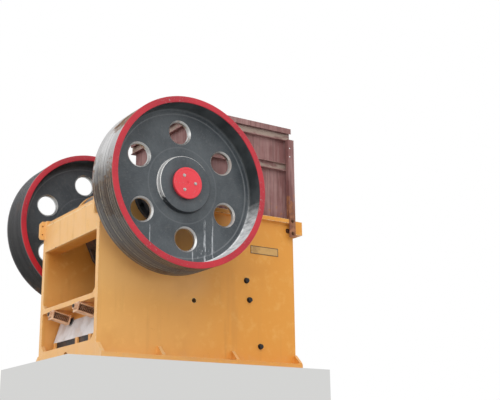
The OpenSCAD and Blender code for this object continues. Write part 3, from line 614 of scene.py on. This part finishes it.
def turned_iron(name, bright, rust, lines):
    """Bare turned iron, with fine lines round it, brown rust where rain stood, and painted shade
    over its lower side that grows with rust.
    """
    material, at = finish(name)
    x, y, z = off_shaft(at)
    broad, small = noise(at, 2.2, 4.0), noise(at, 30.0, 5.0, 0.7)
    cut, scratch = turning_marks(y, lines, 4.0, 0.7), turning_marks(y, 48.0, 2.0)
    rusty = ramp(broad + small * 0.35, 0.74 - 0.16 * rust, 0.82 - 0.10 * rust)
    brown = blend((0.10, 0.055, 0.034), (0.26, 0.135, 0.065), ramp(small, 0.35, 0.65))
    # Painted shade: the lower side turns near black, the more so the more rust is given.
    painted_shade_below = ramp(z + x * 0.35 + (broad - 0.5) * 0.7 + (cut - 0.5) * 0.5, -0.10, -0.42) * rust
    worn = ramp(painted_shade_below, 0.05, 0.4) * ramp(small, 0.36, 0.52)
    colour = coats(
        tuple(c * 0.66 for c in bright), (bright, ramp(cut, 0.35, 0.65)),
        (brown, rusty * min(1.0, 0.45 + rust)), ((0.055, 0.046, 0.040), painted_shade_below * 1.5),
        ((0.40, 0.34, 0.26), ramp(scratch, 0.54, 0.60) * worn * 0.65),
        ((0.022, 0.018, 0.016), ramp(scratch, 0.47, 0.42) * worn * 0.60))
    rusty = rusty.math("MAXIMUM", rusty, painted_shade_below)
    return drive(
        material, Base_Color=colour, Metallic=0.9 - rusty * 0.75,
        Roughness=between(cut, 0.26, 0.42) + rusty * 0.35,
        Normal=bump(cut * 0.6 + small * 0.5 * rusty, 0.30, 0.0010))


wheel_grey = wheel_paint("wheel_grey")
rim_red = red_paint("rim_red", (0.53, 0.016, 0.032), (0.35, 0.012, 0.026))
rim_skin = turned_iron("rim_skin", (0.58, 0.575, 0.575), 0.55, 130.0)
bright_iron = turned_iron("bright_iron", (0.66, 0.66, 0.65), 0.0, 90.0)
belt_iron = turned_iron("belt_iron", (0.085, 0.085, 0.090), 0.1, 60.0)
hub_side, lit_rim = hub_side_paint("hub_side"), dusted_rim("dusted_rim")


def wheel_outline(grooves, pitch, depth, first):
    """Outline of a flywheel's half section, with its grooves in the outer skin."""
    rim = []
    for i in range(grooves):
        w = first + i * pitch
        rim += [(wheel_r, w - 0.36 * pitch, 0), (wheel_r - depth, w - 0.2 * pitch, 0),
                (wheel_r - depth, w + 0.2 * pitch, 0), (wheel_r, w + 0.36 * pitch, 0)]
    return filleted([
        (bore_r, 0.0, 0.003), (0.246, 0.0, 0.010), (0.275, 0.030, 0.02), (0.284, web_low, 0.022),
        (0.779, web_low, 0.042), (rim_in_r, 0.0, 0.006), (wheel_r, 0.0, 0.005), *rim,
        (wheel_r, wheel_w, 0.005), (rim_in_r, wheel_w, 0.006), (0.780, web_high + web_step, 0.036),
        (0.732, web_high + web_step, 0.002), (0.728, web_high, 0.002), (0.282, web_high, 0.016),
        (hub_r, hub_face, 0.008), (bore_r, hub_face, 0.003)])


hair, lip, hole_reach = 0.0005, 0.006, hole_r + 0.019
holes = [(shaft_x + hole_ring * math.cos(hole_phase + k * math.pi / 3),
          shaft_z + hole_ring * math.sin(hole_phase + k * math.pi / 3)) for k in range(6)]
ON_WEB, ON_RIM, ON_SKIN, IN_HOLE, IN_RIM, ON_HUB = range(6)


def wheel_finish(middle, normal):
    """The number of the finish that a face takes, from its middle and its direction."""
    r = math.hypot(middle.x - shaft_x, middle.z - shaft_z)
    w = abs(middle.y) - wheel_y
    outward = ((middle.x - shaft_x) * normal.x + (middle.z - shaft_z) * normal.z) / r
    if any(math.hypot(middle.x - x, middle.z - z) < hole_reach for x, z in holes):
        if min(abs(w - web_low), abs(w - web_high)) > hair or abs(normal.y) < 0.9:
            return IN_HOLE
    if r > rim_in_r - 0.001 and not lip < w < wheel_w - lip:
        return ON_RIM
    if r > rim_in_r + 0.010:
        return ON_SKIN
    if r > 0.748 and outward < -0.45:
        return IN_RIM
    if r < hub_r + 0.014 and web_high + web_step < w < hub_face - hair and outward > 0.3:
        return ON_HUB
    return ON_WEB


bevel, over = 0.016, 0.012
cutter_outline = [(hole_r, web_low + bevel), (hole_r + bevel + over, web_low - over),
                  (0.0, web_low - over), (0.0, web_high + over),
                  (hole_r + bevel + over, web_high + over), (hole_r, web_high - bevel)]
for side, sign, grooves, pitch, depth, first, skin in (
        ("right", -1, 8, 0.024, 0.003, 0.120, rim_skin),
        ("left", 1, 14, 0.368 / 14, 0.018, 0.027 + 0.184 / 14, belt_iron)):
    wheel = turned("wheel_" + side, wheel_outline(grooves, pitch, depth, first), 180,
                   round_axis(sign, wheel_y))
    cutter = turned("cutter_" + side, cutter_outline, 72, round_axis(sign, wheel_y, 0.0, 0.0))
    grow(wheel, drilling, Cutter=cutter, Count=6, Ring=hole_ring, Phase=hole_phase,
         Centre=(shaft_x, 0, shaft_z), Material=wheel_grey)
    bpy.data.objects.remove(cutter)
    settled(wheel)
    wheel.data.materials.clear()
    coat(wheel, wheel_grey, rim_red, skin, bright_iron, lit_rim, hub_side)
    for face in wheel.data.polygons:
        face.material_index = wheel_finish(face.center, face.normal)
    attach(wheel, "rotor")
    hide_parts("flywheel_" + side, "wheel_rim_" + side)

# The round shaft covers. Each is a turned steel cap on the end of the shaft, painted bright red
# and held by three hexagonal bolts with washers, whose zinc shows through the paint.
cover_red = red_paint("cover_red", (0.84, 0.050, 0.070), (0.72, 0.034, 0.05))
cover_r, cover_neck, cover_low, cover_face = 0.157, 0.145, 0.318, 0.342
line_floor, dimple_floor, cover_bolt_ring = cover_face - 0.0015, cover_face - 0.007, 0.0816


def hex_head(name, height, washer):
    """A chamfered hexagonal head of radius 1 along +Z, with a washer of its own radius or none."""
    turns, corners = 24, []
    seat = 0.15 if washer else 0.0
    for k in range(turns):
        a = math.tau * k / turns
        flat = math.cos(math.pi / 6) / math.cos(a % (math.pi / 3) - math.pi / 6)
        chamfer = (flat - 0.84) * 0.55
        rings = [(washer, 0.0), (washer, 0.11), (washer - 0.04, seat)] if washer else []
        rings += [(flat, seat), (flat, seat + height - chamfer), (0.83, seat + height)]
        corners += [(r * math.cos(a), r * math.sin(a), w) for r, w in rings]
    count = len(corners) // turns
    faces = [(k * count + i, (k + 1) % turns * count + i, (k + 1) % turns * count + i + 1,
              k * count + i + 1) for k in range(turns) for i in range(count - 1)]
    faces += [[k * count + i for k in range(turns)] for i in (0, count - 1)]
    return settled(sheet_of(name, corners, faces), 24.0)


bolting, given = growth("bolting", {"Head": "Object", "Size": "Float", "Aim": "Vector",
                                    "Seed": "Int"})
head = given["Head"].add("GeometryNodeObjectInfo", {"Object": given["Head"]}, "Geometry")
heads = head.add("GeometryNodeInstanceOnPoints", {
    "Points": given["Geometry"], "Instance": head, "Rotation": given["Aim"],
    "Scale": given["Size"]})
any_turn = head.add("FunctionNodeRandomValue",
                    {2: 0.0, 3: math.pi / 3, "Seed": given["Seed"]}, 1)
heads = head.add("GeometryNodeRotateInstances", {
    "Instances": heads, "Rotation": head.add("ShaderNodeCombineXYZ", {2: any_turn}),
    "Local Space": True})
grown(heads, given)
RIGHTWARD, LEFTWARD = (math.pi / 2, 0.0, 0.0), (-math.pi / 2, 0.0, 0.0)
SIDES = ("right", -1, RIGHTWARD), ("left", 1, LEFTWARD)


def bolts(name, places, aim, size, look, height=0.62, washer=1.22, seed=3):
    """Hexagonal heads of the same size at the given places, each turned its own way."""
    shape = hex_head("head_" + name, height, washer)
    piece = grow(sheet_of(name, places, []), bolting, Head=shape, Size=size, Aim=aim, Seed=seed,
                 Material=look)
    bpy.data.objects.remove(shape)
    return settled(piece, 24.0)


def joined(piece, *others):
    """Adds other pieces' meshes to a piece, each with its own material."""
    whole = bmesh.new()
    looks = []
    for one in (piece, *others):
        graph = bpy.context.evaluated_depsgraph_get()
        part = bpy.data.meshes.new_from_object(one.evaluated_get(graph), depsgraph=graph)
        first = len(whole.faces)
        whole.from_mesh(part)
        whole.faces.ensure_lookup_table()
        for face in whole.faces[first:]:
            face.material_index += len(looks)
        looks += list(part.materials)
    piece.modifiers.clear()
    piece.data = bpy.data.meshes.new(piece.name)
    whole.to_mesh(piece.data)
    whole.free()
    for one in others:
        bpy.data.objects.remove(one)
    return coat(piece, *looks)


def bolt_metal(name, base, rough):
    """Plated steel of a bolt, dull in patches where dirt sits."""
    material, at = finish(name)
    small = noise(at, 90.0, 4.0, 0.7)
    return drive(
        material, Base_Color=blend(tuple(c * 0.55 for c in base), base, ramp(small, 0.40, 0.60)),
        Metallic=ramp(small, 0.2, 0.6, (0.5, 0.9)),
        Roughness=between(small, rough, rough + 0.16), Normal=bump(small, 0.2, 0.0008))


zinc = bolt_metal("zinc_bolt", (0.62, 0.62, 0.60), 0.26)
cover_outline = filleted([
    (0.0, cover_low + 0.0005, 0), (bore_r, cover_low + 0.0005, 0), (bore_r, hub_face, 0),
    (cover_neck, hub_face, 0), (cover_neck, cover_low, 0.004), (cover_r, cover_low, 0.002),
    (cover_r, cover_face, 0.006), (0.132, cover_face, 0.001), (0.130, line_floor, 0.001),
    (0.126, line_floor, 0.001), (0.124, cover_face, 0.001), (0.016, cover_face, 0.002),
    (0.012, dimple_floor, 0.001), (0.0, dimple_floor, 0)], 3)
for side, sign, aim in SIDES:
    place = round_axis(sign, wheel_y)
    cover = coat(turned("cover_" + side, cover_outline, 120, place), cover_red)
    seats = [place(cover_bolt_ring, cover_face, math.radians(2 + 120 * k)) for k in range(3)]
    joined(cover, bolts("cover_bolts_" + side, seats, aim, 0.0135, zinc))
    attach(cover, "rotor")
    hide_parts("shaft_cover_" + side)

# The eccentric shaft and its bearing housings. The shaft is forged and turned, and each housing
# is a casting with a flange that twelve bolts hold to the wall, and a bolted cover of its own with
# grooves that keep the grease in.


def cast_paint(name, base):
    """Paint on a rough sand casting, dusty on top and worn to brown in places."""
    material, at = finish(name)
    broad, small = noise(at, 3.0, 4.0), noise(at, 24.0, 6.0, 0.65)
    dust_and_painted_light = ramp(facing(at, 2), 0.2, 0.95) * ramp(broad, 0.25, 0.6)
    colour = coats(base, (tuple(c * 1.7 for c in base), ramp(small, 0.42, 0.70)),
                   ((0.16, 0.085, 0.05), ramp(broad + small * 0.5, 0.80, 0.92) * 0.8),
                   ((0.36, 0.33, 0.29), dust_and_painted_light * 0.6))
    return drive(
        material, Base_Color=colour, Specular_IOR_Level=0.4,
        Roughness=between(small, 0.42, 0.62) + dust_and_painted_light * 0.25,
        Normal=bump(small + noise(at, 150.0, 3.0) * 0.3, 0.5, 0.004))


cast_grey = cast_paint("cast_grey", (0.044, 0.049, 0.055))
# Painted highlight: the rounded edges take a lighter copy of the same paint.
cast_edge = cast_paint("cast_edge", (0.095, 0.094, 0.093))
dress(["toggle_seat", "toggle_plate"], 0.004, cast_grey, cast_edge)
black_bolt = bolt_metal("black_bolt", (0.050, 0.050, 0.052), 0.40)
housing_r, housing_in, flange_r, flange_face = 0.2395, 0.6525, 0.302, 0.724
ring_face, groove_floor, flange_bolt_ring, ring_bolt_ring = 0.868, 0.861, 0.271, 0.188
housing_outline = filleted([
    (0.1206, housing_in, 0), (housing_r, housing_in, 0.003), (housing_r, wall_out, 0),
    (flange_r, wall_out, 0.002), (flange_r, flange_face, 0.006), (0.246, flange_face, 0.012),
    (0.238, 0.846, 0.004), (0.222, 0.847, 0.002), (0.218, ring_face, 0.005),
    (0.158, ring_face, 0.003), (0.155, groove_floor, 0.001), (0.150, groove_floor, 0.001),
    (0.147, ring_face, 0.001), (0.141, ring_face, 0.001), (0.138, groove_floor, 0.001),
    (0.133, groove_floor, 0.001), (0.130, ring_face, 0.002), (0.1206, ring_face, 0.001)], 3)
for side, sign, aim in SIDES:
    place = round_axis(sign)
    housing = coat(turned("housing_" + side, housing_outline, 96, place), cast_grey)
    seats = [place(flange_bolt_ring, flange_face, math.radians(30 * k)) for k in range(12)]
    ring_seats = [place(ring_bolt_ring, ring_face, math.radians(22.5 + 45 * k)) for k in range(8)]
    joined(housing, bolts("flange_bolts_" + side, seats, aim, 0.0195, black_bolt, 0.72, 1.18),
           bolts("ring_bolts_" + side, ring_seats, aim, 0.0095, black_bolt, 0.60, 1.20, 5))
    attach(housing, "root")
    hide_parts("bearing_housing_" + side)
shaft_steel = turned_iron("shaft_steel", (0.50, 0.49, 0.47), 0.15, 200.0)
dress(["eccentric_shaft"], 0.003, shaft_steel)
dress(["swing_jaw"], 0.009, cast_grey, cast_edge)

# The crushing chamber. Corrugated jaw plates and flat cheek plates of manganese steel are held by
# clamps. Stone has polished their crests and left grey dust in the valleys.


def worn_steel(name, crest):
    """Scored manganese steel. Crest from 0 to 1 is how much of it is polished."""
    material, at = finish(name)
    broad, small = noise(at, 4.0, 4.0), noise(at, 55.0, 5.0, 0.7)
    scored = noise(at, 40.0, 4.0, 0.7, (1, 1, 0.08))
    colour = coats((0.17, 0.155, 0.14), ((0.33, 0.31, 0.29), ramp(scored, 0.38, 0.64)),
                   ((0.24, 0.13, 0.07), ramp(broad + small * 0.3, 0.72, 0.84) * 0.7),
                   ((0.56, 0.54, 0.51), ramp(small, 0.40, 0.60) * crest))
    return drive(
        material, Base_Color=colour, Metallic=ramp(scored, 0.3, 0.6, (0.35, 0.85)),
        Roughness=between(small, 0.34, 0.58),
        Normal=bump(scored * 0.8 + small * 0.6, 0.45, 0.0025))


wear_plate, wear_crest = worn_steel("wear_plate", 0.2), worn_steel("wear_crest", 0.9)
dress(["swing_jaw_plate", "fixed_jaw_plate"], 0.006, wear_plate, wear_crest)
dress(["cheek_plate_right", "cheek_plate_left", "jaw_clamps"], 0.004, wear_plate, wear_crest)

# The back plate and the shims. A machined plate, pale and bare, bears on the toggle seat, and
# packs of dark steel shims between the ribs set the gap of the jaws.


def plain_steel(name, base, patina, rough, metallic=0.0):
    """Plate or bar with a patina of its own."""
    material, at = finish(name)
    broad, small = noise(at, 5.0, 4.0), noise(at, 48.0, 5.0, 0.65)
    colour = coats(base, (tuple(c * 0.78 for c in base), ramp(broad, 0.40, 0.62)),
                   (patina, ramp(broad + small * 0.5, 0.74, 0.92) * 0.75),
                   (tuple(min(1.0, c * 1.25) for c in base), ramp(small, 0.56, 0.70) * 0.5))
    return drive(
        material, Base_Color=colour, Metallic=ramp(small, 0.2, 0.8, (metallic, metallic * 0.8)),
        Roughness=between(small, rough - 0.08, rough + 0.10),
        Normal=bump(small + noise(at, 260.0, 2.0) * 0.3, 0.3, 0.0014))


bare_plate = plain_steel("bare_plate", (0.76, 0.74, 0.75), (0.66, 0.56, 0.50), 0.50)
dark_steel = plain_steel("dark_steel", (0.028, 0.028, 0.030), (0.12, 0.065, 0.04), 0.50, 0.5)
dress(["toggle_back_plate"], 0.003, bare_plate)
dress(["shim_packs"], 0.002, dark_steel)

# The tension rods and their spring cages. Each rod is threaded and ties the swing jaw's foot to
# the frame, with nuts on its ends, and runs through a cage of two flat bars that holds a coil
# spring. A round washer sits on the back plate under the front nut.
cage_tan = plain_steel("cage_tan", (0.86, 0.56, 0.36), (0.48, 0.22, 0.11), 0.50)
spring_tan = plain_steel("spring_tan", (0.42, 0.22, 0.12), (0.20, 0.09, 0.04), 0.46, 0.2)
washer_grey = plain_steel("washer_grey", (0.36, 0.37, 0.38), (0.22, 0.14, 0.09), 0.42, 0.6)
dress(["spring_cages"], 0.002, cage_tan)
rod_slope, rod_start, rod_y = math.radians(12.6), Vector((-1.200, 0, 0.522)), 0.300
along = Vector((math.cos(rod_slope), 0, -math.sin(rod_slope)))
coil_low, coil_high, coil_r, wire_r, coil_turns = 0.0155, 0.1845, 0.0285, 0.0052, 8.5
winding, given = growth("coil_spring", {"Turns": "Float", "Radius": "Float", "Height": "Float",
                                        "Wire": "Float"})
helix = given["Turns"].add("GeometryNodeCurveSpiral", {
    "Resolution": 24, "Rotations": given["Turns"], "Start Radius": given["Radius"],
    "End Radius": given["Radius"], "Height": given["Height"]})
wire = helix.add("GeometryNodeCurvePrimitiveCircle", {"Resolution": 10, "Radius": given["Wire"]})
coil = helix.add("GeometryNodeCurveToMesh",
                 {"Curve": helix, "Profile Curve": wire, "Fill Caps": True})
turned_coil = coil.add("GeometryNodeSetShadeSmooth", {"Geometry": coil})
spots = coil.add("GeometryNodeInstanceOnPoints", {
    "Points": given["Geometry"], "Instance": turned_coil,
    "Rotation": coil.add("ShaderNodeCombineXYZ", {1: math.pi / 2 + rod_slope})})
grown(spots, given)


def on_rod(run, s, r=0.0, a=0.0):
    """The place so far along the rod of side s, and off its axis at a radius and an angle."""
    up = r * math.sin(a)
    return rod_start + along * run + Vector((math.sin(rod_slope) * up, s * rod_y + r * math.cos(a),
                                             math.cos(rod_slope) * up))


springs = sheet_of("coil_springs", [on_rod(coil_low + wire_r, s) for s in (-1, 1)], [])
grow(springs, winding, Turns=coil_turns, Radius=coil_r, Wire=wire_r,
     Height=coil_high - coil_low - 2 * wire_r, Material=spring_tan)
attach(springs, "root")
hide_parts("springs")

rod_low, thread_end, rod_end, rod_r = -0.036, 0.262, 1.362, 0.019
thread_root, thread_pitch, sides, tapered = 0.0168, 0.0045, 24, 0.0025
thread_rings = 2 * round((thread_end - rod_low) / thread_pitch)
round_angles = [math.tau * k / sides for k in range(sides)]
corners, faces = [], []
for s in (-1, 1):
    first = len(corners)
    for i in range(thread_rings + 2):
        r = (rod_r, thread_root)[i % 2] - (0.0 if 2 <= i < thread_rings else tapered)
        corners += [on_rod(rod_low + thread_pitch * (i / 2 + k / sides), s, r, a)
                    for k, a in enumerate(round_angles)]

    def turn_of(i, k, first=first):
        wraps, k = divmod(k, sides)
        return first + (i + 2 * wraps) * sides + k

    faces += [(turn_of(i, k), turn_of(i, k + 1), turn_of(i + 1, k + 1), turn_of(i + 1, k))
              for i in range(thread_rings - 1) for k in range(sides)]
    for i in (0, thread_rings - 1):
        faces.append([turn_of(i, k) for k in range(sides + 1)] + [turn_of(i + 1, 0)])
    ends = [[len(corners) + n + k for k in range(sides)] for n in (0, sides)]
    corners += [on_rod(run, s, rod_r, a) for run in (thread_end - 0.004, rod_end)
                for a in round_angles]
    faces += [(ends[0][k], ends[0][(k + 1) % sides], ends[1][(k + 1) % sides], ends[1][k])
              for k in range(sides)] + ends
rods = coat(settled(sheet_of("tie_rods", corners, faces), 28.0), dark_steel)
rearward, forward = ((0.0, rod_slope + tilt, 0.0) for tilt in (-math.pi / 2, math.pi / 2))
nut_sets = [bolts(name, [on_rod(run, s) for s in (-1, 1)], aim, size, look, height, 0, seed)
            for name, run, aim, size, look, height, seed in (
                ("rear_nuts", -0.0003, rearward, 0.034, cage_tan, 0.70, 3),
                ("front_nuts", 0.2003, forward, 0.036, dark_steel, 0.83, 8),
                ("lock_nuts", 0.2306, forward, 0.032, dark_steel, 0.68, 9))]
plate_lean, washer_run = math.radians(18), 0.2355
washer_out = [(0.0192, 0.0), (0.0192, 0.006), (0.047, 0.006), (0.047, 0.0)]
for s in (-1, 1):

    def on_plate(r, w, a, s=s):
        off = Vector((-math.cos(plate_lean), 0, math.sin(plate_lean))) * w
        up = Vector((math.sin(plate_lean), 0, math.cos(plate_lean))) * r * math.sin(a)
        return on_rod(washer_run, s, r * math.cos(a)) + off + up

    nut_sets.append(coat(turned("plate_washer_%d" % (s + 1), washer_out, 40, on_plate),
                         washer_grey))
joined(rods, *nut_sets)
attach(rods, "root")
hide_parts("tension_rods")

# The feed hopper. Rolled channels and corner angles carry thin plates, all in red oxide primer
# that weather has dulled, with pale scale on the channels' webs and rust on the front legs.
channel_webs, web_fade = ((2.530, 2.615), (2.172, 2.255)), 0.010


def primer(name, rust):
    """Dulled red oxide primer. Rust from 0 up is how much of it has gone brown."""
    material, at = finish(name)
    broad, small = noise(at, 2.4, 4.0), noise(at, 20.0, 5.0, 0.65)
    x, z = axis(at, 0), axis(at, 2)
    pale_streak = ramp(noise(at, 21.0, 4.0, 0.65, (1, 1, 0.06)), 0.48, 0.62)
    dark_streak = ramp(noise(at, 34.0, 4.0, 0.65, (1, 1, 0.04)), 0.50, 0.62)
    in_web = sum(ramp(z, low, low + web_fade) * ramp(z, high, high - web_fade)
                 for low, high in channel_webs)
    scaled = ramp(noise(at, 9.0, 5.0, 0.7, (0.35, 1, 1)) + in_web * 0.10, 0.50, 0.62) * in_web
    low_front = ramp(z, 1.95, 1.66) * ramp(x, 0.45, 1.05)
    low_rust = ramp(z + broad * 0.3, 2.20, 1.90, (0.05 * rust, 0.20 * rust))
    rusty = ramp(small + broad * 0.5 + low_front * 0.16 + low_rust, 0.92, 1.10)
    orange = blend((0.20, 0.070, 0.024), (0.40, 0.17, 0.075), ramp(small, 0.40, 0.62))
    colour = coats(
        (0.215, 0.092, 0.086), ((0.315, 0.168, 0.158), ramp(broad, 0.36, 0.62)),
        ((0.42, 0.27, 0.25), pale_streak * 0.36), ((0.12, 0.050, 0.044), dark_streak * 0.46),
        ((0.42, 0.33, 0.27), scaled * max(0.0, 0.85 - rust)), (orange, rusty * 0.80),
        ((0.42, 0.31, 0.27), ramp(facing(at, 2), 0.3, 0.95) * 0.5))
    return drive(
        material, Base_Color=colour, Specular_IOR_Level=0.3,
        Roughness=between(small, 0.52, 0.72) + rusty * 0.12,
        Normal=bump(small + noise(at, 190.0, 3.0) * 0.4 + rusty * 0.4, 0.35, 0.0022))


primer_plate, primer_edge = primer("primer_plate", 0.0), primer("primer_edge", 0.5)
rusty_leg = primer("rusty_leg", 1.3)
dress(["hopper_side_right", "hopper_side_left", "hopper_rear_wall", "hopper_frame"], 0.0018,
      primer_plate, primer_edge)
dress(["hopper_post_right", "hopper_post_left"], 0.0018, rusty_leg)
strip_out, strip_in, strip_low, strip_high = 0.6895, 0.6835, 2.612, 2.6738
rear_out, rear_in = -0.1375, -0.1315
corners = [(front_end if in_front else x, s * y, z)
           for in_front, s in ((True, -1), (False, -1), (False, 1), (True, 1))
           for x, y in ((rear_out, strip_out), (rear_in, strip_in))
           for z in (strip_low, strip_high)]
faces = [(0, 1, 3, 2), (12, 13, 15, 14)]
for k in (0, 4, 8):
    faces += [(k, k + 4, k + 5, k + 1), (k + 2, k + 3, k + 7, k + 6), (k + 1, k + 5, k + 7, k + 3),
              (k, k + 2, k + 6, k + 4)]
strip = coat(settled(sheet_of("hopper_rim_strip", corners, faces)), primer_plate, primer_edge)
round_edges(strip, 0.0012)
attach(strip, "root")
rust_bolt = bolt_metal("rust_bolt", (0.16, 0.075, 0.040), 0.55)
foot_y, foot_z, post_x, post_y, bolt_r = 0.664, 1.621, 1.118, 0.737, 0.0145
foot_seats = [(0.06 + 0.17 * k, s * foot_y, foot_z) for k in range(6) for s in (-1, 1)]
hopper_bolts = joined(
    bolts("hopper_bolts", foot_seats, (0.0, 0.0, 0.0), bolt_r, rust_bolt),
    *[bolts("post_bolts_" + side, [(post_x, sign * post_y, z) for z in (1.590, 1.455)], aim,
            bolt_r, rust_bolt) for side, sign, aim in SIDES])
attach(hopper_bolts, "root")

# The name plate. A thin plate of bare metal with a raised border, riveted at its corners. It is
# left bare, with nothing stamped in it.
plate_metal = plain_steel("plate_metal", (0.62, 0.36, 0.12), (0.40, 0.20, 0.07), 0.42, 0.3)
plate_border = plain_steel("plate_border", (0.115, 0.080, 0.045), (0.20, 0.12, 0.06), 0.45, 0.3)
plate_lo, plate_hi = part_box("name_plate")
border_y, border_w, border_foot, rivet_in = plate_lo.y - 0.0010, 0.006, 0.0068, 0.014


def plate_corners(inset):
    """The corners x, z of the plate, each so far in from its edges."""
    x_low, x_high = plate_lo.x + inset, plate_hi.x - inset
    z_low, z_high = plate_lo.z + inset, plate_hi.z - inset
    return (x_low, z_low), (x_high, z_low), (x_high, z_high), (x_low, z_high)


rings = [(0.0, plate_hi.y), (0.0, border_y), (border_w, border_y), (border_foot, plate_lo.y)]
corners = [(x, y, z) for inset, y in rings for x, z in plate_corners(inset)]
faces = [(r * 4 + k, r * 4 + (k + 1) % 4, r * 4 + 4 + (k + 1) % 4, r * 4 + 4 + k)
         for r in range(3) for k in range(4)] + [(0, 1, 2, 3), (12, 13, 14, 15)]
plate = coat(settled(sheet_of("bare_name_plate", corners, faces)), plate_border, plate_metal)
for face in plate.data.polygons:
    if abs(face.center.y - plate_lo.y) < 0.0001 and abs(face.normal.y) > 0.9:
        face.material_index = 1
dome = [(0.0, 0.0), (1.0, 0.0), (0.92, 0.38), (0.68, 0.66), (0.36, 0.82), (0.0, 0.88)]
rivet = turned("rivet", dome, 16, lambda r, w, a: (r * math.cos(a), r * math.sin(a), w))
rivet_seats = [(x, plate_lo.y, z) for x, z in sorted(plate_corners(rivet_in))]
rivets = grow(sheet_of("rivets", rivet_seats, []), bolting, Head=rivet, Size=0.0042,
              Aim=RIGHTWARD, Seed=1, Material=zinc)
bpy.data.objects.remove(rivet)
joined(plate, rivets)
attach(plate, "root")
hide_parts("name_plate")

# The bolts of the walls. Hexagonal heads on washers hold the cheek plates, their shanks pass
# through the wall, and one rusty bolt stands below the front of the top flange.
shank_r, shank_in, shank_out = 0.017, 0.6245, wall_out + 0.002
shank_outline = [(0.0, shank_in), (shank_r, shank_in), (shank_r, shank_out), (0.0, shank_out)]
wall_seats, rust_x, rust_z = ((0.538, 0.885), (0.574, 0.684), (0.705, 0.208)), 1.088, 1.488
for side, sign, aim in SIDES:
    seats = [(x, sign * wall_out, z) for x, z in wall_seats]
    shanks = [coat(turned("shank_%s_%d" % (side, i), shank_outline, 24,
                          round_axis(sign, 0.0, x, z)), black_bolt)
              for i, (x, _, z) in enumerate(seats)]
    wall_bolts = joined(bolts("wall_bolts_set_" + side, seats, aim, 0.0262, black_bolt, 0.86, 1.16),
                        bolts("rust_bolt_" + side, [(rust_x, sign * wall_out, rust_z)], aim,
                              0.021, rust_bolt, 0.66, 1.25), *shanks)
    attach(wall_bolts, "root")
    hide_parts("wall_bolts_" + side)
